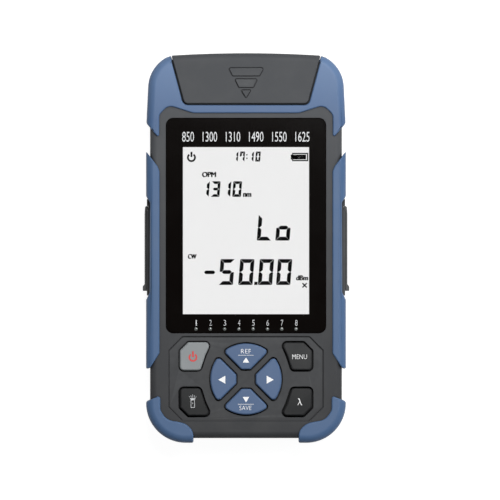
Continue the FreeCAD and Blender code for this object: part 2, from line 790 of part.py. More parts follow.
def make_front_shell():
    body = make_half_shell("front_shell", split, case_front, case_front)
    wall = inner_half - 4.0
    corner = cell("case_corner_bottom") - cell("side_wall")
    finger = top_end - 10.5
    cavity = [
        (-inner_half, inner_bottom, corner),
        (inner_half, inner_bottom, corner),
        (inner_half, finger, 1.5),
        (wall, finger, 1.0),
        (cell("cover_half_bottom") + 5.2, port_wall),
        (-cell("cover_half_bottom") - 5.2, port_wall),
        (-wall, finger, 1.0),
        (-inner_half, finger, 1.5),
    ]
    cut_down(body, "Cavity", [cavity], split, ledge)
    bosses = [(x, y, cell("boss_radius")) for x, y in boss_places()]
    pad_up(body, "Bosses", bosses, split, ledge)
    posts = [(x, y, cell("post_radius")) for x, y in post_places()]
    pad_up(body, "BoardPosts", posts, board_top, ledge)
    pilots = [(x, y, cell("screw_radius") + cell("pin_clear")) for x, y in boss_places()]
    cut_down(body, "BossPilots", pilots, split, ledge - 1)
    pilots = [(x, y, as_size(0.9)) for x, y in post_places()]
    cut_down(body, "PostPilots", pilots, board_top, ledge - 1)
    clear = cell("window_clear")
    half = cell("window_width") / 2 + clear
    corner = cell("window_corner")
    recess = rectangle(-half, half, window_bottom - clear, window_top + clear, corner)
    floor = case_front - cell("window_thick") - 0.1
    cut_down(body, "WindowRecess", [recess], floor, case_front)
    clear = cell("view_clear")
    half = cell("view_width") / 2 + clear
    view = rectangle(-half, half, view_bottom - clear, view_top + clear, 1.0)
    lamps = [(x, y, cell("lamp_radius") + cell("lamp_clear")) for x, y in lamp_places()]
    cut_down(body, "WindowOpening", [view] + lamps, ledge, floor)
    half = cell("keypad_half_width")
    high = keys_middle + cell("keypad_up")
    low = keys_middle - cell("keypad_down")
    corner = cell("keypad_corner")
    keypad = [
        (-half + corner, low, 1.0),
        (half - corner, low, 1.0),
        (half, low + corner, 1.0),
        (half, high - corner, 1.0),
        (half - corner, high, 1.0),
        (-half + corner, high, 1.0),
        (-half, high - corner, 1.0),
        (-half, low + corner, 1.0),
    ]
    cut_down(body, "KeypadRecess", [keypad], keypad_floor, case_front)
    rim = cell("keypad_rim")
    dress_edges(body, "Chamfer", "KeypadRim", rim, lambda edge: lies_at_between(edge, case_front, low, high))
    inner = inset(keypad, cell("keypad_groove"))
    groove = [corner[:2] for corner in keypad[1:] + keypad[:1]]
    groove += [corner[:2] for corner in inner[:1] + inner[:0:-1]]
    cut_down(body, "KeypadGroove", [groove], keypad_floor - cell("keypad_sink"), keypad_floor)
    sketch = add_sketch(body, "DirectionKeys", "XY_Plane", keypad_floor)
    for side in turns:
        draw_direction_key(sketch, side, as_size(0))
    extrude_sketch(body, "Pocket", sketch, keypad_floor - ledge)
    round_edges(body, "RingCorners", cell("ring_round"), lambda edge: ring_corner(edge, True))
    round_edges(body, "FlatCorners", cell("ring_round") * 0.6, lambda edge: ring_corner(edge, False))
    corners = list(corner_key_outlines(as_size(0)).values())
    cut_down(body, "CornerKeys", corners, ledge, keypad_floor)
    cut_down(body, "CoverRecess", [cover_recess(cell("cover_gap"))], leaf_under - 0.3, case_front)
    bay = [cover_recess(-cell("cover_seat"))]
    cut_down(body, "PortBay", bay, split, leaf_under - 0.3)
    end_half = cover_side(top_end, cell("cover_gap"))
    end = rectangle(-end_half, end_half, shell_end, top_end)
    cut_down(body, "EndRecess", [end], split, case_front)
    radius = cell("port_spread") * 0.4
    ports = [(cell("port_spread") * side, cell("port_height"), radius) for side in (1, -1)]
    cut_along_y(body, "PortHoles", ports, port_wall - 1, bay_end + 1)
    charge = split + cell("charge_height") / 2 + cell("jack_clear")
    cut_side_openings(
        body, "front_shell", (split, split), (jack_high + cell("jack_clear"), frame_high), split, charge
    )
    return add_node(body, "front_shell")


def make_back_shell():
    body = make_half_shell("back_shell", case_back, split, case_back)
    corner = cell("case_corner_bottom") - cell("side_wall")
    cavity = case_outline(inner_half, inner_bottom, port_wall, corner, as_size(1.5))
    cut_down(body, "Cavity", [cavity], back_floor, split)
    room_top = cell("torch_height") + cell("torch_radius") + 0.4
    room = rectangle(-case_half + 9, case_half - 9, back_floor, room_top)
    cut_along_y(body, "TorchRoom", [room], port_wall - 1, torch_room)
    bay = [cover_recess(-cell("cover_seat"))]
    cut_down(body, "Shelf", bay, cell("bay_floor"), split)
    end_half = cover_side(top_end, cell("cover_gap"))
    end = rectangle(-end_half, end_half, shell_end, top_end)
    cut_down(body, "EndRecess", [end], case_back, split)
    island = rectangle(-door_half - 1.5, door_half + 1.5, door_low - 1.5, door_high + 1.5)
    pad_up(body, "BatteryIsland", [island], back_floor, split)
    half = bay_half + 0.8
    ceiling = rectangle(-half, half, bay_low - 0.8, bay_high + 0.8)
    pad_up(body, "BatteryCeiling", [ceiling], split - 0.5, board_bottom - cell("board_gap"))
    bosses = [(x, y, cell("boss_radius")) for x, y in boss_places()]
    pad_up(body, "Bosses", bosses, back_floor, split)
    pad_up(body, "DoorBoss", [(0, door_screw_y, 3.4)], back_floor, as_size(12.0))
    cells = rectangle(-bay_half, bay_half, bay_low, bay_high, 1.0)
    cut_down(body, "BatteryBay", [cells], case_back, bay_top)
    cut_down(body, "DoorRecess", [door_outline(-cell("door_clear"))], case_back, door_top + 0.1)
    cut_down(body, "DoorPilot", [(0, door_screw_y, 1.05)], door_top, as_size(11.0))
    holes = [(x, y, cell("screw_radius") + 0.2) for x, y in boss_places()]
    cut_down(body, "ScrewHoles", holes, case_back, split)
    heads = [(x, y, cell("screw_head") + 0.2) for x, y in boss_places()]
    cut_down(body, "ScrewSeats", heads, case_back, case_back + 4)
    charge = split - cell("charge_height") / 2 - cell("jack_clear")
    cut_side_openings(
        body, "back_shell", (jack_low - cell("jack_clear"), frame_low), (split, split), charge, split
    )
    lens = [(0, cell("torch_height"), cell("torch_radius") + 0.1)]
    cut_along_y(body, "TorchHole", lens, shell_end - 4, shell_end + 1)
    groove = cell("seal_width") / 2 + cell("seal_clear")
    sketch = add_sketch(body, "SealGroove", "XY_Plane", split)
    draw_outline(sketch, seal_outline(groove))
    draw_outline(sketch, seal_outline(-groove))
    extrude_sketch(body, "Pocket", sketch, cell("seal_height"))
    trough = cell("hinge_radius") + cell("hinge_clear")
    sketch = add_sketch(body, "HingeTrough", "YZ_Plane", end_half)
    draw_circle(sketch, hinge_y, hinge_z, trough)
    extrude_sketch(body, "Pocket", sketch, end_half * 2)
    out = cell("hinge_lug_out")
    width = cell("hinge_lug_width")
    arm = rectangle(shell_end - 2.5, hinge_y, case_back, case_back + cell("hinge_radius") * 2)
    for name, near in (("RightLug", out - width), ("LeftLug", -out)):
        pad_along_x(body, name, [(hinge_y, hinge_z, cell("hinge_radius"))], near, near + width)
        pad_along_x(body, name + "Arm", [arm], near, near + width)
    bore = [(hinge_y, hinge_z, cell("hinge_pin_radius") + 0.02)]
    cut_along_x(body, "PinBore", bore, -out - 1, out + 1)
    return add_node(body, "back_shell")


def door_outline(shrink):
    """Battery door with the tab for its screw, shrunk by a distance."""
    half = door_half
    tab = cell("door_tab_half")
    tab_top = door_high + cell("door_tab_length")
    outline = [
        (-half, door_low, 1.5),
        (half, door_low, 1.5),
        (half, door_high, 1.5),
        (tab, door_high),
        (tab, tab_top, 1.5),
        (-tab, tab_top, 1.5),
        (-tab, door_high),
        (-half, door_high, 1.5),
    ]
    return inset(outline, as_size(shrink))


def seal_outline(grow):
    """Path of the gasket inside the rim of the case, moved out by grow."""
    middle = cell("side_wall") / 2
    half = case_half - middle + grow
    low = case_bottom + middle - grow
    high = port_wall + middle + grow
    corner = cell("case_corner_bottom") - middle + grow
    return case_outline(half, low, high, corner, 1.5 + middle + grow)


def make_gasket():
    body = new_body("SealRing")
    sketch = add_sketch(body, "Ring", "XY_Plane", split - cell("seal_height"))
    draw_outline(sketch, seal_outline(cell("seal_width") / 2))
    draw_outline(sketch, seal_outline(-cell("seal_width") / 2))
    extrude_sketch(body, "Pad", sketch, cell("seal_height"))
    low = cell("charge_shift") - cell("charge_width") / 2 - 0.5
    high = cell("jack_shift") + cell("jack_width") / 2 + 0.5
    ports = box("SealGap", (-half_width, half_width), (low, high), (split - 2, split + 2))
    return add_node(cut("Gasket", body, [ports]), "gasket")


def make_skins():
    """Soft skin moulded on each half: the gap between two envelopes, in separate patches."""
    narrow = half_width - cell("skin_lean")
    lean = top_end - cell("skin_lean_length")
    outline = [
        (-half_width, bottom_end, cell("skin_corner_bottom")),
        (half_width, bottom_end, cell("skin_corner_bottom")),
        (half_width, lean, cell("skin_bend")),
        (narrow, top_end, cell("skin_corner_top")),
        (-narrow, top_end, cell("skin_corner_top")),
        (-half_width, lean, cell("skin_bend")),
    ]
    skin = rounded_block("SkinEnvelope", outline, as_size(0), cell("body_depth"), cell("skin_edge"))
    fit = cell("skin_fit")
    corners = (cell("case_corner_bottom") + fit, cell("case_corner_top") + fit)
    outline = case_outline(case_half + fit, case_bottom - fit, case_top + fit, *corners)
    edge = cell("case_edge") + fit
    case = rounded_block("CaseEnvelope", outline, case_back - fit, case_front + fit, edge)
    frames = new_body("PortFrameEnvelope")
    pad_up(frames, "FrameEnvelope", [frame_outline(1), frame_outline(-1)], frame_low, frame_high)
    shell = cut("SkinShell", skin, [case, frames])
    out = half_width + 4
    over = top_end + 4
    leg = half_width - cell("leg_width")
    tip = top_end - cell("leg_tip")
    band = top_end - cell("band_bottom")
    flat = cell("band_flat")
    right = [
        (flat, band, 8.0),
        (leg - 3.9, band + 3.3, 4.0),
        (leg, band - 0.6, 3.2),
        (leg, tip, 0.7),
        (leg + 5.6, tip + 6.8),
        (out, tip + 7.2),
        (out, over),
    ]
    left = [(-as_size(corner[0]),) + tuple(corner[1:]) for corner in reversed(right)]
    top = new_body("TopMask")
    pad_up(top, "TopPatch", [right + left], -1, cell("body_depth") + 1)
    recess = [cover_recess(cell("cover_gap"))]
    cut_down(top, "TopPatchRecess", recess, -1, cell("body_depth") + 1)
    grip_in = half_width - cell("grip_width")
    up = cell("grip_up")
    down = -cell("grip_down")
    notch_up = cell("notch_up")
    notch_down = -cell("notch_down")
    grip = [
        (out, up + 2.0),
        (half_width + 0.3, up, 0.8),
        (grip_in + 0.9, up - 6.6, 1.5),
        (grip_in, up - 8.8, 2.0),
        (grip_in, down + 6.8, 2.0),
        (half_width - 1.6, down + 0.5, 1.5),
        (out, down - 0.4),
        (out, notch_down),
        (half_width + 0.2, notch_down),
        (case_half, notch_down + 4.0),
        (case_half, notch_up - 2.8),
        (half_width + 0.2, notch_up),
        (out, notch_up),
    ]
    sides = new_body("GripMask")
    pad_up(sides, "GripPatch", [grip], -1, cell("body_depth") + 1)
    guard_in = half_width - cell("guard_width")
    guard_tip = bottom_end + cell("guard_up")
    reach = half_width - cell("guard_reach")
    guard = [
        (guard_in + 0.2, guard_tip, 1.0),
        (guard_in + 0.1, bottom_end + 13.8, 3.0),
        (guard_in - 2.4, bottom_end + 9.8, 6.0),
        (reach + 3.7, bottom_end + 8.4, 7.0),
        (reach, bottom_end + 5.3, 5.0),
        (reach, bottom_end - 4),
        (out, bottom_end - 4),
        (out, guard_tip - 4.6),
    ]
    corners = new_body("GuardMask")
    pad_up(corners, "GuardPatch", [guard], -1, cell("body_depth") + 1)
    for half, low, high in (("front", split, cell("body_depth") + 1), ("back", as_size(-1), split)):
        block = box("Half" + half, (-out, out), (-over, over), (low, high))
        halved = doc.addObject("Part::MultiCommon", "Shell" + half)
        halved.Shapes = [shell, block]
        for label, mask in (("top_bumper", top), ("grip", sides), ("corner_guard", corners)):
            patch = doc.addObject("Part::MultiCommon", "Patch" + label + half)
            patch.Shapes = [halved, mask]
            if label == "top_bumper":
                add_node(patch, "top_bumper_" + half)
                continue
            add_node(patch, "right_%s_%s" % (label, half))
            add_node(mirror("Mirror" + label + half, patch), "left_%s_%s" % (label, half))


def grip_marks():
    """Two trapezoids and a triangle that narrow away from the end of the cover."""
    marks = []
    trapezoids = ((-7.4, 7.5, -5.6, 5.7, 6.3, 9.6, 0.6), (-4.7, 4.8, -3.0, 3.1, 11.0, 14.5, 0.5))
    for left, right, tip_left, tip_right, start, end, corner in trapezoids:
        high = top_end - start
        low = top_end - end
        upper_left, upper_right = (left, high, corner), (right, high, corner)
        lower_left, lower_right = (tip_left, low, corner), (tip_right, low, corner)
        marks.append([upper_left, lower_left, lower_right, upper_right])
    high = top_end - 15.7
    marks.append([(-2.0, high, 0.3), (0.0, high - 3.3, 0.4), (2.0, high, 0.3)])
    return marks


def make_cover():
    """Flip cover: a front leaf and an end leaf, hinged at the back edge of the end."""
    body = new_body("port_cover")
    half_top = cell("cover_half_top")
    half_low = cell("cover_half_bottom")
    corner = cell("cover_corner")
    crown = cell("cover_crown")
    outline = [
        (-half_low, cover_bottom, corner),
        (half_low, cover_bottom, corner),
        (half_top, cover_shoulder),
        (-half_top, cover_shoulder),
    ]
    sketch = add_sketch(body, "Leaves", "XY_Plane", hinge_z)
    bow = (half_top * half_top + crown * crown) / (crown * 2)
    draw_outline(sketch, outline, 2, bow)
    extrude_sketch(body, "Pad", sketch, cell("body_depth") - hinge_z)
    roof = cell("body_depth")
    near_end = top_end - 1.5

    def at_end(edge):
        return lies_at(edge, roof) and edge.BoundBox.YMin > cover_shoulder.number - 0.01

    round_edges(body, "EndEdge", cell("cover_end_edge"), at_end)
    sides = cell("cover_side_edge")
    round_edges(body, "SideEdges", sides, lambda edge: lies_at_between(edge, roof, cover_bottom, near_end))
    inside = rectangle(-half_top - 1, half_top + 1, cover_bottom - 1, end_inside)
    cut_down(body, "Inside", [inside], hinge_z, leaf_under)
    lug_in = cell("hinge_lug_out") - cell("hinge_lug_width") - cell("hinge_clear")
    pad_along_x(body, "Knuckle", [(hinge_y, hinge_z, cell("hinge_radius"))], -lug_in, lug_in)
    notch_top = hinge_z + cell("hinge_radius") + cell("hinge_clear")
    notch = rectangle(lug_in, half_top + 1, end_inside - 1, top_end + 1)
    cut_down(body, "LugNotches", [notch, mirrored(notch)], hinge_z, notch_top)
    bore = [(hinge_y, hinge_z, cell("hinge_pin_radius") + cell("pin_clear"))]
    cut_along_x(body, "PinBore", bore, -half_top - 1, half_top + 1)
    lens = [(0, cell("torch_height"), cell("torch_radius") + 0.8)]
    cut_along_y(body, "TorchOpening", lens, end_inside - 1, top_end + 1)
    marks = grip_marks()
    sunk = roof - cell("mark_sink")
    top = roof + cell("mark_height")
    cut_down(body, "MarkGrooves", [inset(mark, -cell("mark_groove")) for mark in marks], sunk, roof)
    pad_up(body, "GripMarks", marks, sunk, top)
    dress_edges(body, "Chamfer", "MarkEdges", cell("mark_edge"), lambda edge: lies_at(edge, top))
    return add_node(body, "port_cover")


def make_window_and_display():
    body = new_body("display_window")
    half = cell("window_width") / 2
    plate = rectangle(-half, half, window_bottom, window_top, cell("window_corner") - 0.2)
    pad_up(body, "Plate", [plate], case_front - cell("window_thick"), case_front)
    add_node(body, "display_window")
    half = cell("view_width") / 2 + cell("display_border")
    border = cell("display_border")
    glass_top = ledge - 0.2
    glass_bottom = glass_top - cell("display_thick")
    ends = (view_bottom - border, view_top + border)
    add_node(box("Glass", (-half, half), ends, (glass_bottom, glass_top)), "display_panel")
    holder_top = glass_bottom - 0.1
    holder_bottom = holder_top - cell("holder_thick")
    tray = box("Tray", (-half - 0.6, half + 0.6), ends, (holder_bottom, holder_top))
    legs = []
    foot = board_top + 0.1
    for side in (1, -1):
        for y in (ends[0] + 2, ends[1] - 2):
            across = (half * side - 1.5, half * side + 0.5)
            legs.append(box("TrayLeg%d" % len(legs), across, (y - 1, y + 1), (foot, holder_bottom)))
    add_node(fuse("Holder", [tray] + legs), "display_holder")
    lamps = []
    top = case_front - cell("window_thick") - 0.15
    for number, (x, y) in enumerate(lamp_places()):
        lamps.append(rod("Lamp%d" % number, "z", x, y, foot, cell("lamp_radius"), top - foot))
    add_node(group("Lamps", lamps), "status_lamps")


def make_key(label, draw, lip_draw, is_sector):
    """A key: a flange under the front wall, the cap above it and a stem over its switch."""
    body = new_body(label)
    sketch = add_sketch(body, "Flange" + label, "XY_Plane", flange_bottom)
    lip_draw(sketch)
    extrude_sketch(body, "Pad", sketch, cell("key_flange"))
    sketch = add_sketch(body, "Column" + label, "XY_Plane", flange_top)
    draw(sketch)
    extrude_sketch(body, "Pad", sketch, key_top - flange_top)
    if is_sector:
        inner = cell("ring_round") * 0.6 - cell("key_gap") * 0.5
        outer = cell("ring_round") - cell("key_gap") * 0.6
        round_edges(body, "Outer" + label, outer, lambda edge: cap_corner(edge, True))
        round_edges(body, "Inner" + label, inner, lambda edge: cap_corner(edge, False))
    x, y = key_places()[label]
    reach = cell("stem_width") / 2
    stem = rectangle(x - reach, x + reach, y - reach, y + reach)
    pad_up(body, "Stem" + label, [stem], stem_bottom, flange_bottom)
    dress_edges(body, "Chamfer", "Top" + label, cell("key_edge"), lambda edge: lies_at(edge, key_top))
    return add_node(body, label)


def make_keys():
    gap = cell("key_gap")
    lip = cell("key_lip")
    for side in turns:
        make_key(
            "key_" + side,
            lambda sketch: draw_direction_key(sketch, side, gap),
            lambda sketch: draw_direction_key(sketch, side, -lip),
            True,
        )
    columns = corner_key_outlines(cell("dark_key_gap"))
    columns["key_power"] = corner_key_outlines(gap)["key_power"]
    flanges = corner_key_outlines(-lip)
    for label in columns:
        flange = [corner[:2] for corner in flanges[label]]
        make_key(
            label,
            lambda sketch: draw_outline(sketch, columns[label]),
            lambda sketch: draw_outline(sketch, flange),
            False,
        )
    switches = []
    half = cell("switch_width") / 2
    for label, (x, y) in key_places().items():
        top = board_top + cell("switch_height")
        base = box("Base" + label, (x - half, x + half), (y - half, y + half), (board_top, top))
        plunger = rod("Plunger" + label, "z", x, y, top, cell("plunger_radius"), cell("plunger_height"))
        switches.append(fuse("Switch" + label, [base, plunger]))
    add_node(group("Switches", switches), "key_switches")


def make_board():
    body = new_body("main_board")
    clear = cell("board_clear")
    corner = cell("case_corner_bottom") - cell("side_wall") - clear
    high = view_top + cell("display_border") + 1.5
    outline = case_outline(inner_half - clear, inner_bottom + clear, high, corner, as_size(1.5))
    pad_up(body, "Board", [outline], board_bottom, board_top)
    back = jack_face - cell("jack_depth") - 0.5
    notches = [jack_outline(1, back, case_half + 1), jack_outline(-1, back, case_half + 1)]
    back = jack_face - cell("charge_depth") - 0.3
    notches.append(charge_outline(back, case_half + 1, cell("jack_clear")))
    cut_down(body, "JackNotches", notches, board_bottom, board_top)
    bosses = [(x, y, cell("boss_radius") + 0.4) for x, y in boss_places()]
    cut_down(body, "BossHoles", bosses, board_bottom, board_top)
    posts = [(x, y, 1.2) for x, y in post_places()]
    cut_down(body, "ScrewHoles", posts, board_bottom, board_top)
    add_node(body, "main_board")
    screws = []
    for number, (x, y) in enumerate(post_places()):
        head = rod("BoardHead%d" % number, "z", x, y, board_bottom - 1.2, 2.2, 1.2)
        shank = rod("BoardShank%d" % number, "z", x, y, board_bottom, 0.85, 7.0)
        screws.append(fuse("BoardScrew%d" % number, [head, shank]))
    add_node(group("BoardScrews", screws), "board_screws")
    low = board_bottom - 3.2
    add_node(rod("Buzzer", "z", as_size(14.0), view_top - 8, low, 4.5, 3.2), "buzzer")


def make_ports():
    half = cover_side(bay_end, -cell("cover_seat")) - 1.4
    far = bay_end + cell("plate_thick")
    plate = box("Plate", (-half, half), (bay_end, far), (cell("bay_floor") + 0.1, leaf_under - 0.7))
    spread = cell("port_spread")
    height = cell("port_height")
    near = port_wall + 0.3
    bore = cell("ferrule_bore") / 2
    holes = []
    for name, side, barrel, flange in (("power_port", -1, 4.5, 6.3), ("laser_port", 1, 4.1, 5.6)):
        x = spread * side
        holes.append(rod("Hole" + name, "y", x, near, height, barrel + 0.1, as_size(8.0)))
        tube = rod("Tube" + name, "y", x, near, height, barrel, port_tip - near)
        disc = rod("Disc" + name, "y", x, far, height, flange, as_size(1.8))
        drill = rod("Drill" + name, "y", x, port_tip - 10, height, bore, as_size(11.0))
        add_node(cut("Port" + name, fuse("Body" + name, [tube, disc]), [drill]), name)
    add_node(cut("PortPlate", plate, holes), "port_plate")
    add_node(rod("Detector", "y", -spread, near - 6.6, height, 4.2, as_size(6.3)), "detector")
    add_node(rod("Laser", "y", spread, near - 11.3, height, 4.2, as_size(11.0)), "laser_module")


def make_torch():
    height = cell("torch_height")
    radius = cell("torch_radius")
    lens = rod("Lens", "y", as_size(0), torch_room - 0.6, height, radius, shell_end - torch_room + 0.4)
    add_node(lens, "torch_lens")
    star_end = torch_room - 2.2
    lamp = rod("LampDome", "y", as_size(0), star_end, height, 2.4, as_size(1.4))
    upright = (back_floor + 0.1, height + radius)
    star = box("Star", (as_size(-6), as_size(6)), (star_end - 1.6, star_end), upright)
    add_node(fuse("Lamp", [star, lamp]), "torch_lamp")


def make_side_ports():
    face = jack_face
    back = face - cell("jack_depth")
    shift = cell("jack_shift")
    half = cell("jack_width") / 2
    shell = box("JackShell", (back, face), (shift - half, shift + half), (jack_low, jack_high))
    half = cell("plug_width") / 2
    low = split - cell("plug_height") / 2
    high = low + cell("plug_height")
    hole = box("JackHole", (back + 3, face + 1), (shift - half, shift + half), (low, high))
    latch = box("JackLatch", (back + 6, face + 1), (shift - 3, shift + 3), (low - 1.6, low + 0.1))
    jack = cut("Jack", shell, [hole, latch])
    add_node(jack, "right_network_jack")
    add_node(mirror("LeftJack", jack), "left_network_jack")
    shift = cell("charge_shift")
    half = cell("charge_width") / 2
    low = split - cell("charge_height") / 2
    high = split + cell("charge_height") / 2
    back = cell("charge_depth") - face
    shell = box("ChargeShell", (-face, back), (shift - half, shift + half), (low, high))
    wall = cell("charge_wall")
    across = (shift - half + wall, shift + half - wall)
    hole = box("ChargeHole", (-face - 1, back - 1.5), across, (low + wall, high - wall))
    tongue_half = (split - 0.35, split + 0.35)
    tongue = box("Tongue", (0.8 - face, back - 1), (shift - 3.2, shift + 3.2), tongue_half)
    add_node(fuse("ChargeSocket", [cut("ChargeBody", shell, [hole]), tongue]), "charge_socket")


def make_flap(label, side):
    """Side flap: a thin lid, a hinge roll at its upper end and a pull tab at its lower end."""
    body = new_body(label)
    inside = frame_out + cell("flap_clear")
    outside = inside + cell("flap_thick")
    tab = outside + cell("flap_tab")
    low = -cell("flap_down")
    hinge = cell("flap_hinge")
    lid = [
        (inside, hinge),
        (inside, low),
        (tab, low, 0.3),
        (tab, low + 1.9, 0.3),
        (outside, low + 2.9),
        (outside, hinge - 2.5),
        (inside + cell("flap_roll") - cell("flap_clear"), hinge),
    ]
    height = cell("flap_half_height")
    roll = (frame_out * side, hinge, cell("flap_roll"))
    pad_up(body, "Roll" + label, [roll], split - height, split + height)
    pad_up(body, "Lid" + label, [lid if side > 0 else mirrored(lid)], split - height, split + height)
    half = cell("plug_width") / 2 - 0.6
    shift = cell("jack_shift")
    plug = rectangle(jack_face - 1.2, inside + 0.1, shift - half, shift + half)
    reach = cell("plug_height") / 2 - 0.6
    pad_up(body, "Plug" + label, [plug if side > 0 else mirrored(plug)], split - reach, split + reach)
    return add_node(body, label)


def make_battery():
    body = new_body("battery_door")
    pad_up(body, "Door", [door_outline(0)], case_back, door_top)
    screw_y = door_screw_y
    cut_down(body, "ScrewHole", [(0, screw_y, 1.4)], case_back, door_top)
    cut_down(body, "ScrewSeat", [(0, screw_y, 2.3)], case_back, case_back + 0.9)
    ribs = [rectangle(-9, 9, door_low + 4 + number * 2, door_low + 5 + number * 2) for number in range(4)]
    cut_down(body, "ThumbGrooves", ribs, case_back, case_back + 0.4)
    add_node(body, "battery_door")
    head = rod("DoorHead", "z", as_size(0), screw_y, case_back + 0.1, 2.1, 0.8)
    shank = rod("DoorShank", "z", as_size(0), screw_y, case_back + 0.9, 1.0, 7.0)
    add_node(fuse("DoorScrew", [head, shank]), "battery_door_screw")
    radius = cell("cell_radius")
    height = back_floor + radius + 0.25
    square = cell("contact_half")
    coil = 0.6 - bay_half
    contacts = []
    for number in range(3):
        y = bay_low + (radius * 2 + cell("cell_gap")) * number + radius + cell("cell_gap")
        start = bay_half - 0.8 - cell("cell_length")
        can = rod("Can%d" % number, "x", start, y, height, radius, cell("cell_length") - 1.3)
        button = rod("Button%d" % number, "x", start, y, height, 2.7, cell("cell_length"))
        one = fuse("Cell%d" % number, [can, button])
        along = (y - square, y + square)
        upright = (height - square, height + square)
        plate = box("Plate%d" % number, (bay_half - 0.7, bay_half - 0.1), along, upright)
        back = box("Back%d" % number, (0.1 - bay_half, coil), along, upright)
        spring = rod("Spring%d" % number, "x", coil, y, height, 2.6, start - 0.2 - coil)
        pieces = [one, plate, fuse("SpringPlate%d" % number, [back, spring])]
        if number == 1:
            pieces = [mirror("Turned%s%d" % (piece.Name, number), piece) for piece in pieces]
        add_node(pieces[0], "aa_cell_%d" % (number + 1))
        contacts += pieces[1:]
    add_node(group("Contacts", contacts), "battery_contacts")


def make_case_screws():
    screws = []
    for number, (x, y) in enumerate(boss_places()):
        seat = case_back + 4
        head = rod("CaseHead%d" % number, "z", x, y, seat - 2, cell("screw_head"), as_size(2.0))
        shank = rod("CaseShank%d" % number, "z", x, y, seat, cell("screw_radius"), split - seat + 9)
        screws.append(fuse("CaseScrew%d" % number, [head, shank]))
    add_node(group("CaseScrews", screws), "case_screws")


def make_hinge_pin():
    length = cell("hinge_lug_out") * 2
    pin = rod("Pin", "x", -cell("hinge_lug_out"), hinge_y, hinge_z, cell("hinge_pin_radius"), length)
    return add_node(pin, "cover_pin")


make_front_shell()
make_back_shell()
make_gasket()
make_skins()
make_cover()
make_hinge_pin()
make_window_and_display()
make_keys()
make_board()
make_ports()
make_torch()
make_side_ports()
make_flap("right_port_flap", 1)
make_flap("left_port_flap", -1)
make_battery()
make_case_screws()

doc.recompute()
for item in doc.Objects:
    if "Invalid" in item.State or "Error" in item.State:
        raise RuntimeError("%s did not build: %s" % (item.Label, item.State))
for node in nodes:
    if node.Shape.isNull() or not node.Shape.isValid() or node.Shape.Volume <= 0:
        raise RuntimeError("%s has no valid solid" % node.Label)

os.makedirs("parts", exist_ok=True)
for node in nodes:
    node.Shape.exportStep("parts/%s.step" % node.Label)
print(len(nodes), "sub-parts written")
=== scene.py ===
import json
import math

import bmesh
import bpy
from mathutils import Matrix, Vector


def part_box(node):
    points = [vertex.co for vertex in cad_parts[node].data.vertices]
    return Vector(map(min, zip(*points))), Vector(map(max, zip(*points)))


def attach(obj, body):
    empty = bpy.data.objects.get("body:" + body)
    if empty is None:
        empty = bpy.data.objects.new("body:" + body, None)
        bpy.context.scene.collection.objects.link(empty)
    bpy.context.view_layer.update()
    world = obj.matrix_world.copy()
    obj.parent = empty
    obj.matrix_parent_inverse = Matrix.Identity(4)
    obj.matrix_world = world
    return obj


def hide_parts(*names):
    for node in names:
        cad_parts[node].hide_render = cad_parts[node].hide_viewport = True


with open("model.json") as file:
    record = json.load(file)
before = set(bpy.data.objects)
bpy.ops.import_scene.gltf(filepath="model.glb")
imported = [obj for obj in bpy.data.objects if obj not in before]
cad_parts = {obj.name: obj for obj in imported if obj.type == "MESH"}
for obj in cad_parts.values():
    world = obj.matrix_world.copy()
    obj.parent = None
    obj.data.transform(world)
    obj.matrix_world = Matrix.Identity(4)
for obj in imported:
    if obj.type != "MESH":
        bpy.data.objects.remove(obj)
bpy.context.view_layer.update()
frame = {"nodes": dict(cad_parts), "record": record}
scene = bpy.context.scene
mm = 0.001  # every look below gives lengths in millimetres and angles in degrees, unless it says otherwise
bodyOf = {}
for bodyName, nodeNames in frame["record"]["behaviour"]["bodies"].items():
    for nodeName in nodeNames:
        bodyOf[nodeName] = bodyName
print("frame loaded,", len(frame["nodes"]), "nodes")


def tone(red, green, blue):
    # paint tone as printed on a colour card, turned to the linear value a shader wants
    def linear(level):
        level = level / 255
        return level / 12.92 if level <= 0.04045 else ((level + 0.055) / 1.055) ** 2.4
    return (linear(red), linear(green), linear(blue), 1.0)


def feed(tree, socket, value):
    # sets a socket, or links it where the value is another node's output
    if isinstance(value, bpy.types.NodeSocket):
        tree.links.new(value, socket)
    else:
        socket.default_value = value


def addNode(tree, kind, values, **settings):
    # a node with its settings and its inputs, named or numbered
    node = tree.nodes.new(kind)
    for label, value in settings.items():
        setattr(node, label, value)
    for label, value in values.items():
        feed(tree, node.inputs[label], value)
    return node


def addMath(tree, operation, *values):
    # one step of arithmetic on numbers or outputs
    return addNode(tree, "ShaderNodeMath", dict(enumerate(values)), operation=operation).outputs[0]


def addRange(tree, value, low, high, **settings):
    # 0 at low, 1 at high, even in between
    values = {"Value": value, "From Min": low, "From Max": high}
    return addNode(tree, "ShaderNodeMapRange", values, **settings).outputs["Result"]


def objectSpot(tree):
    return addNode(tree, "ShaderNodeTexCoord", {}).outputs["Object"]


def startGroup(name, inputs, outputs):
    # a shared effect: the numbers it takes and the masks or heights it gives
    group = bpy.data.node_groups.new(name, "ShaderNodeTree")
    for label, value in inputs.items():
        socket = group.interface.new_socket(name=label, in_out="INPUT", socket_type="NodeSocketFloat")
        socket.default_value = value
    for label in outputs:
        group.interface.new_socket(name=label, in_out="OUTPUT", socket_type="NodeSocketFloat")
    return group, addNode(group, "NodeGroupInput", {}).outputs


effectLook = {
    "grainScale": 3500, "grainDetail": 3, "cellSmoothness": 0.6, "cellShare": 0.5,
    "cloudScale": 60, "cloudDetail": 4, "cloudRoughness": 0.6,
    "edgeStart": 0.52, "edgeFull": 0.62, "edgePatch": 400,
    "dustPatch": 90, "dustDetail": 6, "dustTilt": 0.5, "dustFrom": 0.45, "dustTo": 0.8,
    "creaseReach": 0.0012, "creaseSamples": 6, "creaseFrom": 0.95, "creaseTo": 0.35}


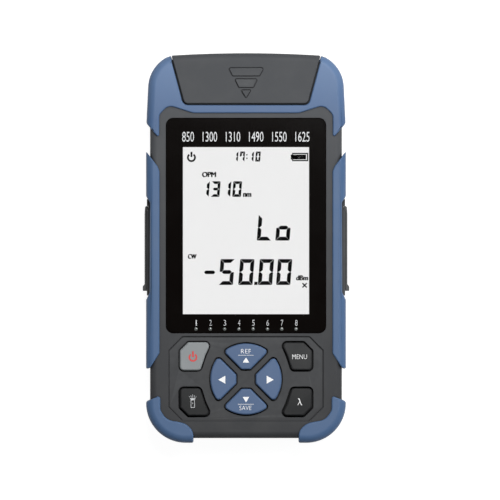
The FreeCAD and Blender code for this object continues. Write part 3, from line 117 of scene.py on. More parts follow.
def makeMouldGrain():
    # fine sparked texture of a moulded part, with a slow unevenness under it
    scales = {"Grain Scale": effectLook["grainScale"], "Cloud Scale": effectLook["cloudScale"]}
    group, given = startGroup("mouldGrain", scales, ("Height", "Cloud"))
    spot = objectSpot(group)
    cells = addNode(group, "ShaderNodeTexVoronoi", {
        "Vector": spot, "Scale": given["Grain Scale"], "Smoothness": effectLook["cellSmoothness"]},
        feature="SMOOTH_F1")
    grain = addNode(group, "ShaderNodeTexNoise", {
        "Vector": spot, "Scale": given["Grain Scale"], "Detail": effectLook["grainDetail"]})
    cloud = addNode(group, "ShaderNodeTexNoise", {
        "Vector": spot, "Scale": given["Cloud Scale"], "Detail": effectLook["cloudDetail"],
        "Roughness": effectLook["cloudRoughness"]})
    height = addMath(group, "MULTIPLY_ADD", cells.outputs["Distance"], effectLook["cellShare"],
                     grain.outputs["Fac"])
    addNode(group, "NodeGroupOutput", {"Height": height, "Cloud": cloud.outputs["Fac"]})
    return group


def makeRubbedAndLitEdge():
    # mask that is strong on outer edges, broken up a little; it gives edge wear and a painted highlight along
    # the edges
    limits = {"Start": effectLook["edgeStart"], "Full": effectLook["edgeFull"]}
    group, given = startGroup("rubbedAndLitEdge", limits, ("Mask",))
    shape = addNode(group, "ShaderNodeNewGeometry", {}).outputs["Pointiness"]
    patch = addNode(group, "ShaderNodeTexNoise", {
        "Vector": objectSpot(group), "Scale": effectLook["edgePatch"]})
    edge = addRange(group, shape, given["Start"], given["Full"], interpolation_type="SMOOTHSTEP")
    addNode(group, "NodeGroupOutput", {"Mask": addMath(group, "MULTIPLY", edge, patch.outputs["Fac"])})
    return group


def makeRestingDust():
    # thin pale dust in soft patches on the faces that look up
    group, given = startGroup("restingDust", {"Patch Scale": effectLook["dustPatch"]}, ("Mask",))
    normal = addNode(group, "ShaderNodeNewGeometry", {}).outputs["Normal"]
    split = addNode(group, "ShaderNodeSeparateXYZ", {0: normal})
    patch = addNode(group, "ShaderNodeTexNoise", {
        "Vector": objectSpot(group), "Scale": given["Patch Scale"], "Detail": effectLook["dustDetail"]})
    up = addRange(group, split.outputs["Z"], effectLook["dustTilt"], 1)
    thick = addRange(group, patch.outputs["Fac"], effectLook["dustFrom"], effectLook["dustTo"])
    addNode(group, "NodeGroupOutput", {"Mask": addMath(group, "MULTIPLY", up, thick)})
    return group


def makePaintedCreaseShade():
    # painted shade: a mask that is strong down in grooves, at the foot of a step and in narrow gaps, where
    # shade falls
    group, given = startGroup("paintedCreaseShade", {"Reach": effectLook["creaseReach"]}, ("Mask",))
    shade = addNode(group, "ShaderNodeAmbientOcclusion", {"Distance": given["Reach"]},
                    samples=effectLook["creaseSamples"])
    deep = addRange(group, shade.outputs["AO"], effectLook["creaseFrom"], effectLook["creaseTo"])
    addNode(group, "NodeGroupOutput", {"Mask": deep})
    return group


mouldGrain = makeMouldGrain()
paintedCreaseShade = makePaintedCreaseShade()
rubbedAndLitEdge = makeRubbedAndLitEdge()
restingDust = makeRestingDust()

# what a finish has where its own look doesn't say otherwise
# the edge wear amount also paints highlights on edges; the crease tone and the tone under the key caps are
# painted shade
plainLook = {
    "metallic": 0, "specular": 0.5, "coat": 0, "coatRoughness": 0.1, "roughSpread": 0.05,
    "grainScale": 3500, "cloudScale": 60, "uneven": 0.5, "bump": 0.15, "bumpHeight": 0.00006,
    "wearAndHighlight": 0.5, "dust": 0.03, "dustTone": tone(176, 172, 166),
    "paintedShade": 0.8, "paintedShadeTone": tone(14, 14, 15), "gapShadeTone": tone(22, 23, 26), "gapShadeEdge": 0.05}


def newMaterial(name, values):
    # a material with the shader's own sockets set
    material = bpy.data.materials.new(name)
    material.use_nodes = True
    tree = material.node_tree
    shader = tree.nodes["Principled BSDF"]
    for label, value in values.items():
        feed(tree, shader.inputs[label], value)
    return material, tree, shader


def mixColour(tree, factor, low, high, amount=1):
    # from low to high colour by a mask, held back by amount
    share = addMath(tree, "MULTIPLY", factor, amount)
    mix = addNode(tree, "ShaderNodeMix", {"Factor": share}, data_type="RGBA")
    feed(tree, mix.inputs[6], low)
    feed(tree, mix.inputs[7], high)
    return mix.outputs[2]


def alongAxis(tree, axis, low, high):
    # 0 to 1 along one axis of the object, between two places in millimetres
    split = addNode(tree, "ShaderNodeSeparateXYZ", {0: objectSpot(tree)})
    return addRange(tree, split.outputs[axis], low * mm, high * mm)


def finish(name, ownLook):
    # one finish from its look: colours, roughness, grain, wear with painted edge highlights, dust, painted
    # light along the length and painted shade in creases and key gaps
    look = {**plainLook, **ownLook}
    material, tree, shader = newMaterial(name, {
        "Metallic": look["metallic"], "Specular IOR Level": look["specular"],
        "Coat Weight": look["coat"], "Coat Roughness": look["coatRoughness"]})
    grain = addNode(tree, "ShaderNodeGroup", {
        "Grain Scale": look["grainScale"], "Cloud Scale": look["cloudScale"]}, node_tree=mouldGrain)
    cloud = grain.outputs["Cloud"]
    wearAndHighlight = addNode(tree, "ShaderNodeGroup", {}, node_tree=rubbedAndLitEdge).outputs["Mask"]
    dust = addNode(tree, "ShaderNodeGroup", {}, node_tree=restingDust).outputs["Mask"]
    base, second = look["colour"], look["second"]
    # painted light: the colour turns lighter along Y towards the end where more light falls, and on the top
    # bumper a painted sheen
    if "paintedLight" in look:
        paintedLight = alongAxis(tree, "Y", look["paintedLightFrom"], look["paintedLightTo"])
        base = mixColour(tree, paintedLight, base, look["paintedLight"])
        second = mixColour(tree, paintedLight, second, look["paintedLightSecond"])
    colour = mixColour(tree, cloud, base, second, look["uneven"])
    # edge wear and painted highlight: outer edges turn paler
    colour = mixColour(tree, wearAndHighlight, colour, look.get("wornAndLitTone", second), look["wearAndHighlight"])
    colour = mixColour(tree, dust, colour, look["dustTone"], look["dust"])
    if "gapShadeHeight" in look:
        # painted shade: below this height a key is coloured near-black, darkening the gap round its cap
        low, high = look["gapShadeHeight"] - look["gapShadeEdge"], look["gapShadeHeight"] + look["gapShadeEdge"]
        colour = mixColour(tree, alongAxis(tree, "Z", low, high), look["gapShadeTone"], colour)
    # painted shade: the colour darkens down in grooves, at the foot of steps and in narrow gaps
    if look["paintedShade"]:
        paintedShade = addNode(tree, "ShaderNodeGroup", {}, node_tree=paintedCreaseShade).outputs["Mask"]
        colour = mixColour(tree, paintedShade, colour, look["paintedShadeTone"], look["paintedShade"])
    feed(tree, shader.inputs["Base Color"], colour)
    rough = addNode(tree, "ShaderNodeMapRange", {
        "Value": cloud, "To Min": look["roughness"] - look["roughSpread"],
        "To Max": look["roughness"] + look["roughSpread"]})
    feed(tree, shader.inputs["Roughness"], rough.outputs["Result"])
    bump = addNode(tree, "ShaderNodeBump", {
        "Strength": look["bump"], "Distance": look["bumpHeight"], "Height": grain.outputs["Height"]})
    feed(tree, shader.inputs["Normal"], bump.outputs["Normal"])
    return material


# the case turns lighter towards its top end by painted light
caseGrey = finish("caseGreyPlastic", {
    "colour": tone(63, 64, 66), "second": tone(71, 72, 74), "wornAndLitTone": tone(96, 98, 100),
    "paintedLight": tone(81, 83, 86), "paintedLightSecond": tone(89, 91, 94), "paintedLightFrom": -60, "paintedLightTo": 60,
    "roughness": 0.6, "specular": 0.15, "grainScale": 3200, "bump": 0.22, "paintedShade": 0.6})
bumperBlue = finish("bumperBlueRubber", {
    "colour": tone(75, 102, 139), "second": tone(85, 112, 149), "wornAndLitTone": tone(112, 136, 172),
    "roughness": 0.5, "grainScale": 2600, "bump": 0.12, "specular": 0.3, "wearAndHighlight": 0.3, "paintedShade": 0.6})
# copy of the bumper blue with a painted sheen: paler towards the top end, with paler painted edge highlights
topBumperBluePaintedSheen = finish("topBumperBlueRubberPaintedSheen", {
    "colour": tone(75, 101, 139), "second": tone(85, 111, 149), "wornAndLitTone": tone(138, 160, 192),
    "paintedLight": tone(98, 124, 162), "paintedLightSecond": tone(108, 134, 170), "paintedLightFrom": 54, "paintedLightTo": 78,
    "roughness": 0.5, "grainScale": 2600, "bump": 0.12, "specular": 0.3, "wearAndHighlight": 0.3, "paintedShade": 0.6})
coverGrey = finish("coverGreyPlastic", {
    "colour": tone(76, 78, 81), "second": tone(84, 86, 89), "wornAndLitTone": tone(104, 106, 108),
    "roughness": 0.6, "specular": 0.15, "grainScale": 3200, "bump": 0.2, "paintedShade": 0.7})
flapRubber = finish("flapBlackRubber", {
    "colour": tone(70, 71, 72), "second": tone(80, 81, 82), "wornAndLitTone": tone(108, 110, 112),
    "roughness": 0.6, "grainScale": 2200, "bump": 0.2, "paintedShade": 0.5})
# the key finishes below are near-black under their caps, painted shade in the gaps round the keys
keyBlue = finish("keyBluePlastic", {
    "gapShadeHeight": 34.6,
    "colour": tone(76, 100, 136), "second": tone(88, 112, 147), "wornAndLitTone": tone(104, 128, 162),
    "roughness": 0.5, "grainScale": 4200, "bump": 0.08, "specular": 0.35, "wearAndHighlight": 0.15})
keySilver = finish("powerKeySilver", {
    "gapShadeHeight": 34.6,
    "colour": tone(136, 141, 143), "second": tone(150, 154, 156), "wornAndLitTone": tone(172, 175, 177),
    "roughness": 0.5, "grainScale": 4200, "bump": 0.08, "specular": 0.4, "wearAndHighlight": 0.2})
# the charcoal keys turn lighter towards the upper ones by painted light
keyCharcoal = finish("keyCharcoalPlastic", {
    "gapShadeHeight": 34.6,
    "colour": tone(40, 41, 42), "second": tone(48, 49, 50), "wornAndLitTone": tone(72, 73, 74),
    "paintedLight": tone(54, 55, 56), "paintedLightSecond": tone(62, 63, 64), "paintedLightFrom": -66, "paintedLightTo": -46,
    "roughness": 0.55, "grainScale": 4200, "bump": 0.1, "specular": 0.15, "wearAndHighlight": 0.3})
windowBlack = finish("windowBlackPrint", {
    "paintedShade": 0,
    "colour": tone(9, 6, 5), "second": tone(12, 9, 8), "wornAndLitTone": tone(22, 20, 19),
    "roughness": 0.12, "roughSpread": 0.02, "bump": 0.0, "specular": 0.12, "uneven": 0.3, "dust": 0.003})
blackPlastic = finish("blackInnerPlastic", {
    "colour": tone(26, 26, 27), "second": tone(34, 34, 35), "wornAndLitTone": tone(60, 60, 60),
    "roughness": 0.5, "grainScale": 3000, "bump": 0.15})
whitePlastic = finish("lampHousingWhite", {
    "colour": tone(206, 206, 202), "second": tone(220, 220, 216), "roughness": 0.4})
lampPlastic = finish("statusLampDome", {
    "colour": tone(86, 90, 88), "second": tone(112, 118, 114), "roughness": 0.2, "coat": 0.6})
boardGreen = finish("boardGreenResist", {
    "colour": tone(18, 84, 48), "second": tone(26, 100, 58), "roughness": 0.35, "coat": 0.4, "bump": 0.05})
zincSteel = finish("zincSteel", {
    "colour": tone(176, 178, 180), "second": tone(196, 198, 200), "metallic": 1.0,
    "roughness": 0.32, "cloudScale": 500, "bump": 0.06})
nickelPort = finish("nickelPort", {
    "colour": tone(196, 194, 188), "second": tone(214, 212, 206), "metallic": 1.0,
    "roughness": 0.2, "cloudScale": 400, "bump": 0.03})
brassMetal = finish("brassMetal", {
    "colour": tone(196, 164, 92), "second": tone(212, 184, 116), "metallic": 1.0,
    "roughness": 0.28, "cloudScale": 400, "bump": 0.04})
cellWrap = finish("cellWrapFilm", {
    "colour": tone(40, 44, 52), "second": tone(52, 58, 66), "roughness": 0.3, "coat": 0.4, "bump": 0.03})
legendWhite = finish("legendWhiteInk", {
    "paintedShade": 0,
    "colour": tone(252, 253, 254), "second": tone(255, 255, 255),
    "roughness": 0.5, "bump": 0.05, "dust": 0.0})
legendGrey = finish("legendSilverInk", {
    "paintedShade": 0,
    "colour": tone(206, 208, 210), "second": tone(222, 224, 226),
    "roughness": 0.35, "bump": 0.05, "dust": 0.0})
powerRed = finish("powerRedInk", {
    "paintedShade": 0,
    "colour": tone(206, 52, 50), "second": tone(218, 66, 62), "roughness": 0.45, "bump": 0.05, "dust": 0.0})
segmentBlack = finish("segmentBlack", {
    "paintedShade": 0,
    "colour": tone(8, 8, 9), "second": tone(12, 12, 13),
    "roughness": 0.6, "specular": 0.1, "bump": 0.0, "dust": 0.0})

panelLook = {
    "base": tone(20, 20, 20), "roughness": 0.5, "specular": 0.1, "strength": 1.0,
    "glow": tone(238, 238, 238), "weave": 0.985, "grainScale": 5000, "cloudScale": 20}
sheetLook = {"ior": 1.2, "cloudScale": 30, "roughTo": 0.002}


def paintedGlowPanel(name, look):
    # display sheet with a painted glow: an even emitted grey with a hardly visible weave, standing in for the
    # light falling on it
    material, tree, shader = newMaterial(name, {
        "Base Color": look["base"], "Roughness": look["roughness"], "Specular IOR Level": look["specular"],
        "Emission Strength": look["strength"]})
    grain = addNode(tree, "ShaderNodeGroup", {
        "Grain Scale": look["grainScale"], "Cloud Scale": look["cloudScale"]}, node_tree=mouldGrain)
    dimmer = tuple(part * look["weave"] for part in look["glow"][:3]) + (1.0,)
    glow = mixColour(tree, grain.outputs["Cloud"], look["glow"], dimmer)
    feed(tree, shader.inputs["Emission Color"], glow)
    return material


def clearSheet(name, look):
    # clear middle of the window
    material, tree, shader = newMaterial(name, {
        "Base Color": (1, 1, 1, 1), "Transmission Weight": 1, "IOR": look["ior"]})
    grain = addNode(tree, "ShaderNodeGroup", {"Cloud Scale": look["cloudScale"]}, node_tree=mouldGrain)
    rough = addNode(tree, "ShaderNodeMapRange", {
        "Value": grain.outputs["Cloud"], "To Min": 0.0, "To Max": look["roughTo"]})
    feed(tree, shader.inputs["Roughness"], rough.outputs["Result"])
    return material


# the display panel shows its grey by painted glow, not by the light that falls on it
displayPaintedGlow = paintedGlowPanel("displayPaintedGlow", panelLook)
windowClear = clearSheet("windowClear", sheetLook)
print("finishes made")


def place(bm, name, material, body, smoothAngle=35):
    # turns a finished bmesh into a piece that rides on a body
    mesh = bpy.data.meshes.new(name)
    bm.to_mesh(mesh)
    bm.free()
    mesh.materials.append(material)
    mesh.polygons.foreach_set("use_smooth", [True] * len(mesh.polygons))
    mesh.set_sharp_from_angle(angle=math.radians(smoothAngle))
    piece = bpy.data.objects.new(name, mesh)
    scene.collection.objects.link(piece)
    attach(piece, body)
    return piece


copyLook = {"merge": 0.002, "flat": 0.05, "sharpFrom": 30}


def softCopy(node, name, material, chooseEdge=None, roundWidth=0, roundSteps=3, settle=None):
    # merged copy of a built part, with the chosen sharp edges softened
    bm = bmesh.new()
    bm.from_mesh(frame["nodes"][node].data)
    bmesh.ops.remove_doubles(bm, verts=bm.verts, dist=copyLook["merge"] * mm)
    if settle:
        settle(bm)
    bmesh.ops.dissolve_limit(bm, angle_limit=math.radians(copyLook["flat"]), verts=bm.verts, edges=bm.edges)
    if chooseEdge:
        limit = math.radians(copyLook["sharpFrom"])
        sharp = [edge for edge in bm.edges
                 if len(edge.link_faces) == 2 and edge.calc_face_angle() > limit and chooseEdge(edge)]
        bmesh.ops.bevel(bm, geom=sharp, offset=roundWidth * mm, offset_type="OFFSET", affect="EDGES",
                        segments=roundSteps, profile=0.5, material=-1, clamp_overlap=False)
    piece = place(bm, name, material, bodyOf[node], copyLook["sharpFrom"])
    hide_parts(node)
    flat = piece.modifiers.new("flatFaces", "WEIGHTED_NORMAL")
    flat.keep_sharp = True
    return piece


def finishNode(node, material):
    # a built part that is shown as it is, in its own finish
    thing = frame["nodes"][node]
    thing.data.materials.clear()
    thing.data.materials.append(material)


skinLook = {
    "frontRound": 0.62, "backRound": 0.5, "steps": 4, "split": 18.0, "splitNear": 0.3,
    "endFrom": 76, "endLean": 20, "facing": 0.35}


def onOuterSide(edge):
    # true where a patch of the skin ends on its outer surface
    middle = (edge.verts[0].co + edge.verts[1].co) / 2
    overSplit = middle.z - skinLook["split"] * mm
    if abs(overSplit) < skinLook["splitNear"] * mm:
        return False
    away = Vector((middle.x, 0, overSplit))
    if abs(middle.y) > skinLook["endFrom"] * mm:
        away.y = math.copysign(skinLook["endLean"] * mm, middle.y)
    away.normalize()
    return any(face.normal.dot(away) > skinLook["facing"] for face in edge.link_faces)


tipLook = {"from": 79.6, "within": 33.2, "closer": 0.36}


def settleTips(bm):
    # the two tips of the top bumper lean against the cover's end corners
    for vert in bm.verts:
        if vert.co.y > tipLook["from"] * mm and abs(vert.co.x) < tipLook["within"] * mm:
            vert.co.x -= math.copysign(tipLook["closer"] * mm, vert.co.x)


for patch in ("top_bumper", "right_grip", "left_grip", "right_corner_guard", "left_corner_guard"):
    for half in ("front", "back"):
        node = patch + "_" + half
        onTop = patch == "top_bumper"
        softCopy(node, "soft_" + node, topBumperBluePaintedSheen if onTop else bumperBlue, onOuterSide,
                 skinLook[half + "Round"], skinLook["steps"], settle=settleTips if onTop else None)
print("soft skins made")

softCopy("front_shell", "moulded_front_shell", caseGrey)
softCopy("back_shell", "moulded_back_shell", caseGrey)
softCopy("battery_door", "moulded_battery_door", caseGrey)

coverLook = {
    "bow": 499.78, "end": 82.5, "near": 0.06, "upright": 0.02, "strip": 2.0, "strips": 31, "cutNear": 0.0001,
    "lowEdge": 2.6, "lowEdgeFrom": 81}


def evenEnd(bm):
    # the cover's bowed end face in even upright strips, so that it shades without streaks
    centre = (coverLook["end"] - coverLook["bow"]) * mm
    bow = coverLook["bow"] * mm

    def endFaces():
        near = coverLook["near"] * mm
        return [face for face in bm.faces if abs(face.normal.z) < coverLook["upright"]
                and all(abs(math.hypot(v.co.x, v.co.y - centre) - bow) < near for v in face.verts)]

    bm.normal_update()
    for number in range(coverLook["strips"]):
        faces = endFaces()
        geom = faces + list({e for f in faces for e in f.edges}) + list({v for f in faces for v in f.verts})
        x = (number - coverLook["strips"] // 2) * coverLook["strip"] * mm
        bmesh.ops.bisect_plane(bm, geom=geom, dist=coverLook["cutNear"] * mm, plane_co=(x, 0, 0),
                               plane_no=(1, 0, 0))
    for vert in {v for f in endFaces() for v in f.verts}:
        vert.co.y = centre + math.sqrt(bow * bow - vert.co.x * vert.co.x)


cover = softCopy("port_cover", "moulded_port_cover", coverGrey, settle=evenEnd)
for edge in cover.data.edges:
    # the lower edge of the end face stays crisp
    ends = [cover.data.vertices[index].co for index in edge.vertices]
    if all(end.y > coverLook["lowEdgeFrom"] * mm and end.z < coverLook["lowEdge"] * mm for end in ends):
        edge.use_edge_sharp = True

flapLook = {"round": 0.15, "steps": 2}


def everyEdge(edge):
    return True


for side in ("right", "left"):
    softCopy(side + "_port_flap", side + "_rubber_flap", flapRubber, everyEdge,
             flapLook["round"], flapLook["steps"])

keys = {
    "key_up": (keyBlue, "key_blue"), "key_down": (keyBlue, "key_blue"),
    "key_left": (keyBlue, "key_blue"), "key_right": (keyBlue, "key_blue"),
    "key_power": (keySilver, "key_light"), "key_menu": (keyCharcoal, "key_dark"),
    "key_torch": (keyCharcoal, "key_dark"), "key_wavelength": (keyCharcoal, "key_dark")}
keyLook = {"round": 0.22, "steps": 3, "topFrom": 34.9}


def onKeyTop(edge):
    return all(vert.co.z > keyLook["topFrom"] * mm for vert in edge.verts)


for node, (material, slot) in keys.items():
    softCopy(node, "cap_" + node, material, onKeyTop, keyLook["round"], keyLook["steps"])
print("case, cover, flaps and keys made")

# nodes that keep their built shape, with their finishes
innerFinishes = {
    "gasket": blackPlastic, "display_holder": whitePlastic, "status_lamps": lampPlastic,
    "display_panel": displayPaintedGlow, "torch_lens": windowClear, "torch_lamp": whitePlastic,
    "main_board": boardGreen, "key_switches": blackPlastic, "buzzer": blackPlastic,
    "detector": zincSteel, "laser_module": brassMetal, "power_port": nickelPort, "laser_port": nickelPort,
    "port_plate": nickelPort, "right_network_jack": blackPlastic, "left_network_jack": blackPlastic,
    "charge_socket": zincSteel, "battery_contacts": zincSteel, "battery_door_screw": zincSteel,
    "board_screws": zincSteel, "case_screws": zincSteel, "cover_pin": zincSteel,
    "aa_cell_1": cellWrap, "aa_cell_2": cellWrap, "aa_cell_3": cellWrap}
for node, material in innerFinishes.items():
    finishNode(node, material)
print("inner parts and metal parts finished")


windowLook = {
    "viewHalfWidth": 26.7, "viewLow": -28.0, "viewHigh": 42.7, "corner": 3.1, "cornerSteps": 12,
    "rim": 0.15, "rimSteps": 2, "rimNear": 0.01, "sharpFrom": 12,
    "lamps": 8, "lampPitch": 6.05, "lampRow": -34.3, "lampRadius": 0.75, "lampFlat": 0.3, "lampSharpFrom": 60}


def slab(bm, x0, x1, y0, y1, z0, z1):
    # rectangular block from a cube
    made = bmesh.ops.create_cube(bm, size=1)
    size = Matrix.Diagonal((x1 - x0, y1 - y0, z1 - z0, 1))
    middle = Matrix.Translation(((x0 + x1) / 2, (y0 + y1) / 2, (z0 + z1) / 2))
    bmesh.ops.transform(bm, matrix=middle @ size, verts=made["verts"])


def makeWindow():
    # black printed border round a clear middle
    half = windowLook["viewHalfWidth"] * mm
    low, high = windowLook["viewLow"] * mm, windowLook["viewHigh"] * mm
    bottom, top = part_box("display_window")
    bm = bmesh.new()
    corners = [bm.verts.new((x, y, bottom[2])) for x, y in (
        (bottom[0], bottom[1]), (top[0], bottom[1]), (top[0], top[1]), (bottom[0], top[1]))]
    bm.faces.new(corners)
    bmesh.ops.bevel(bm, geom=corners, offset=windowLook["corner"] * mm, offset_type="OFFSET",
                    affect="VERTICES", segments=windowLook["cornerSteps"], profile=0.5, material=-1)
    made = bmesh.ops.extrude_face_region(bm, geom=list(bm.faces))
    raised = [v for v in made["geom"] if isinstance(v, bmesh.types.BMVert)]
    bmesh.ops.translate(bm, verts=raised, vec=(0, 0, top[2] - bottom[2]))
    bmesh.ops.recalc_face_normals(bm, faces=bm.faces)
    rim = [e for e in bm.edges if all(v.co.z > top[2] - windowLook["rimNear"] * mm for v in e.verts)]
    bmesh.ops.bevel(bm, geom=rim, offset=windowLook["rim"] * mm, offset_type="OFFSET", affect="EDGES",
                    segments=windowLook["rimSteps"], profile=0.5, material=-1)
    border = place(bm, "window_border", windowBlack, "meter", windowLook["sharpFrom"])
    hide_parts("display_window")
    cutter = bmesh.new()
    slab(cutter, -half, half, low, high, bottom[2] - mm, top[2] + mm)
    mesh = bpy.data.meshes.new("windowCut")
    cutter.to_mesh(mesh)
    cutter.free()
    tool = bpy.data.objects.new("windowCut", mesh)
    scene.collection.objects.link(tool)
    cut = border.modifiers.new("clearMiddle", "BOOLEAN")
    cut.operation = "DIFFERENCE"
    cut.object = tool
    cut.solver = "EXACT"
    bpy.context.view_layer.update()
    shaped = bpy.data.meshes.new_from_object(border.evaluated_get(bpy.context.evaluated_depsgraph_get()))
    border.modifiers.clear()
    border.data = shaped
    shaped.set_sharp_from_angle(angle=math.radians(windowLook["sharpFrom"]))
    bpy.data.objects.remove(tool)
    pane = bmesh.new()
    slab(pane, -half, half, low, high, bottom[2], top[2])
    place(pane, "window_pane", windowClear, "meter")


def lampPlace(number):
    # how far across the window a lamp sits, counted from 0 at the left
    return (number - (windowLook["lamps"] - 1) / 2) * windowLook["lampPitch"]


def makeLampSpots():
    # smoked domes of the lamps, showing through the print
    bottom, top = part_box("display_window")
    bm = bmesh.new()
    for number in range(windowLook["lamps"]):
        x = lampPlace(number) * mm
        made = bmesh.ops.create_uvsphere(bm, u_segments=20, v_segments=10,
                                         radius=windowLook["lampRadius"] * mm)
        bmesh.ops.scale(bm, vec=(1, 1, windowLook["lampFlat"]), verts=made["verts"])
        bmesh.ops.translate(bm, verts=made["verts"], vec=(x, windowLook["lampRow"] * mm, top[2]))
    place(bm, "lamp_spots", lampPlastic, "meter", windowLook["lampSharpFrom"])


makeWindow()
makeLampSpots()
print("window made")


def inkShape(bm, points, rounding=0, steps=3):
    # flat face from its corner points, corners rounded if asked
    corners = [bm.verts.new((x * mm, y * mm, 0)) for x, y in points]
    face = bm.faces.new(corners)
    if rounding:
        bmesh.ops.bevel(bm, geom=corners, offset=rounding * mm, offset_type="OFFSET", affect="VERTICES",
                        segments=steps, profile=0.5, material=-1)
    return face


def inkArc(bm, centre, inner, outer, start, sweep, steps):
    # flat arc, swept from a short edge
    angle = math.radians(start)
    ends = []
    for reach in (inner, outer):
        ends.append(bm.verts.new(((centre[0] + math.cos(angle) * reach) * mm,
                                  (centre[1] + math.sin(angle) * reach) * mm, 0)))
    edge = bm.edges.new(ends)
    bmesh.ops.spin(bm, geom=ends + [edge], cent=(centre[0] * mm, centre[1] * mm, 0), axis=(0, 0, 1),
                   angle=math.radians(sweep), steps=steps)


def inkBox(bm, x0, x1, y0, y1):
    return inkShape(bm, [(x0, y0), (x1, y0), (x1, y1), (x0, y1)])


def inkFrame(bm, x0, x1, y0, y1, width):
    # flat rectangular outline
    face = inkBox(bm, x0, x1, y0, y1)
    face.normal_update()
    bmesh.ops.inset_region(bm, faces=[face], thickness=width * mm, use_boundary=True, use_even_offset=True)
    bmesh.ops.delete(bm, geom=[face], context="FACES")


powerLook = {"start": 125, "sweep": 290, "steps": 24}


def inkPower(bm, centre, inner, outer, halfBar, barLow, barHigh):
    # open ring with a bar in its gap
    inkArc(bm, centre, inner, outer, powerLook["start"], powerLook["sweep"], powerLook["steps"])
    inkBox(bm, centre[0] - halfBar, centre[0] + halfBar, barLow, barHigh)


def layInk(bm, name, material, body, height, thick=0.03):
    # gives flat marks a little thickness and lays them on a face
    bmesh.ops.recalc_face_normals(bm, faces=bm.faces)
    for face in bm.faces:
        if face.normal.z < 0:
            face.normal_flip()
    made = bmesh.ops.extrude_face_region(bm, geom=list(bm.faces))
    up = [v for v in made["geom"] if isinstance(v, bmesh.types.BMVert)]
    bmesh.ops.translate(bm, verts=up, vec=(0, 0, thick * mm))
    bmesh.ops.recalc_face_normals(bm, faces=bm.faces)
    bmesh.ops.translate(bm, verts=bm.verts, vec=(0, 0, height * mm))
    place(bm, name, material, body)


def inkText(bm, words, x0, x1, y0, y1, thin=0.0):
    # lettering fitted to a box, added to the marks as flat faces; thin narrows the strokes
    curve = bpy.data.curves.new("lettering", "FONT")
    curve.body = words
    curve.resolution_u = 4
    curve.offset = -thin
    thing = bpy.data.objects.new("lettering", curve)
    scene.collection.objects.link(thing)
    bpy.context.view_layer.update()
    mesh = bpy.data.meshes.new_from_object(thing.evaluated_get(bpy.context.evaluated_depsgraph_get()))
    bpy.data.objects.remove(thing)
    part = bmesh.new()
    part.from_mesh(mesh)
    bmesh.ops.remove_doubles(part, verts=part.verts, dist=0.0001)  # in units of the letter height
    xs = [v.co.x for v in part.verts]
    ys = [v.co.y for v in part.verts]
    left, low = min(xs), min(ys)
    scale = Matrix.Diagonal(((x1 - x0) * mm / (max(xs) - left), (y1 - y0) * mm / (max(ys) - low), 1, 1))
    shift = Matrix.Translation((x0 * mm, y0 * mm, 0))
    bmesh.ops.transform(part, matrix=shift @ scale @ Matrix.Translation((-left, -low, 0)), verts=part.verts)
    part.to_mesh(mesh)
    part.free()
    bm.from_mesh(mesh)
    bpy.data.meshes.remove(mesh)


# which bars each figure of the display lights
segmentsOf = {
    "0": "abcdef", "1": "bc", "2": "abged", "3": "abgcd", "4": "fgbc", "5": "afgcd", "6": "afgedc",
    "7": "abcf", "8": "abcdefg", "9": "abcdfg", "L": "fed", "o": "gecd"}


readingLook = {
    "height": 31.8, "iconHeight": 31.84, "outlineThick": 0.02,
    "slant": 0.079, "cornerShare": 0.16, "cornerSteps": 2, "bold": 0.18,
    "big": {"width": 6.05, "height": 10.95, "stroke": 1.62, "gap": 0.1},
    "middle": {"width": 3.7, "height": 6.6, "stroke": 1.15, "gap": 0.1},
    "small": {"width": 2.05, "height": 4.25, "stroke": 0.78, "gap": 0.05}}

# rows of digits: size, lower edge, then each symbol with where its lower right corner stands
mainRows = (
    ("big", -15.65, (("5", -5.55), ("0", 2.75), ("0", 11.05), ("0", 18.75))),
    ("big", 3.15, (("L", 10.6), ("o", 18.45))),
    ("middle", 21.65, (("1", -15.8), ("3", -11.25), ("1", -6.7), ("0", -2.15))))
clockRow = ("small", 36.6, (("1", -3.5), ("7", -0.7), ("1", 3.1), ("0", 5.95)))
clockDots = (37.7, 39.2)
decimalPoint = [(3.45, -15.65), (4.85, -15.65), (4.95, -14.3), (3.55, -14.3)]
minusBar = [
    (-17.8, -10.3), (-17.15, -11.05), (-13.6, -11.05), (-13.0, -10.3), (-13.6, -9.55), (-17.15, -9.55)]
# words with their left, right, lower and upper limits
readingWords = {
    "OPM": (-18.65, -13.0, 29.95, 32.15), "nm": (-1.25, 1.95, 21.6, 23.2),
    "CW": (-24.65, -21.25, -4.6, -2.65), "dBm": (21.15, 25.95, -13.7, -11.65)}
crossLook = {"x": 24.82, "y": -15.8, "halfLength": 1.3, "halfWidth": 0.27}


def inkDigit(bm, symbol, right, low, size):
    # one seven-bar digit; right is where its lower right corner stands
    stroke = size["stroke"]
    left, top = right - size["width"], low + size["height"]
    mid, half = low + size["height"] / 2, stroke / 2
    g = size["gap"] / 2
    bars = {
        "a": [(left + g, top), (right - g, top), (right - stroke - g, top - stroke),
              (left + stroke + g, top - stroke)],
        "b": [(right, top - g), (right, mid + g), (right - half, mid + g),
              (right - stroke, mid + half + g), (right - stroke, top - stroke - g)],
        "c": [(right, mid - g), (right, low + g), (right - stroke, low + stroke + g),
              (right - stroke, mid - half - g), (right - half, mid - g)],
        "d": [(right - g, low), (left + g, low), (left + stroke + g, low + stroke),
              (right - stroke - g, low + stroke)],
        "e": [(left, low + g), (left, mid - g), (left + half, mid - g),
              (left + stroke, mid - half - g), (left + stroke, low + stroke + g)],
        "f": [(left, mid + g), (left, top - g), (left + stroke, top - stroke - g),
              (left + stroke, mid + half + g), (left + half, mid + g)],
        "g": [(left + half + g, mid), (left + stroke + g, mid + half), (right - stroke - g, mid + half),
              (right - half - g, mid), (right - stroke - g, mid - half), (left + stroke + g, mid - half)],
    }
    for letter in segmentsOf[symbol]:
        leaned = [(x + (y - low) * readingLook["slant"], y) for x, y in bars[letter]]
        inkShape(bm, leaned, stroke * readingLook["cornerShare"], readingLook["cornerSteps"])


def inkRow(bm, row):
    # a row of digits of one size
    size, low, symbols = row
    for symbol, right in symbols:
        inkDigit(bm, symbol, right, low, readingLook[size])


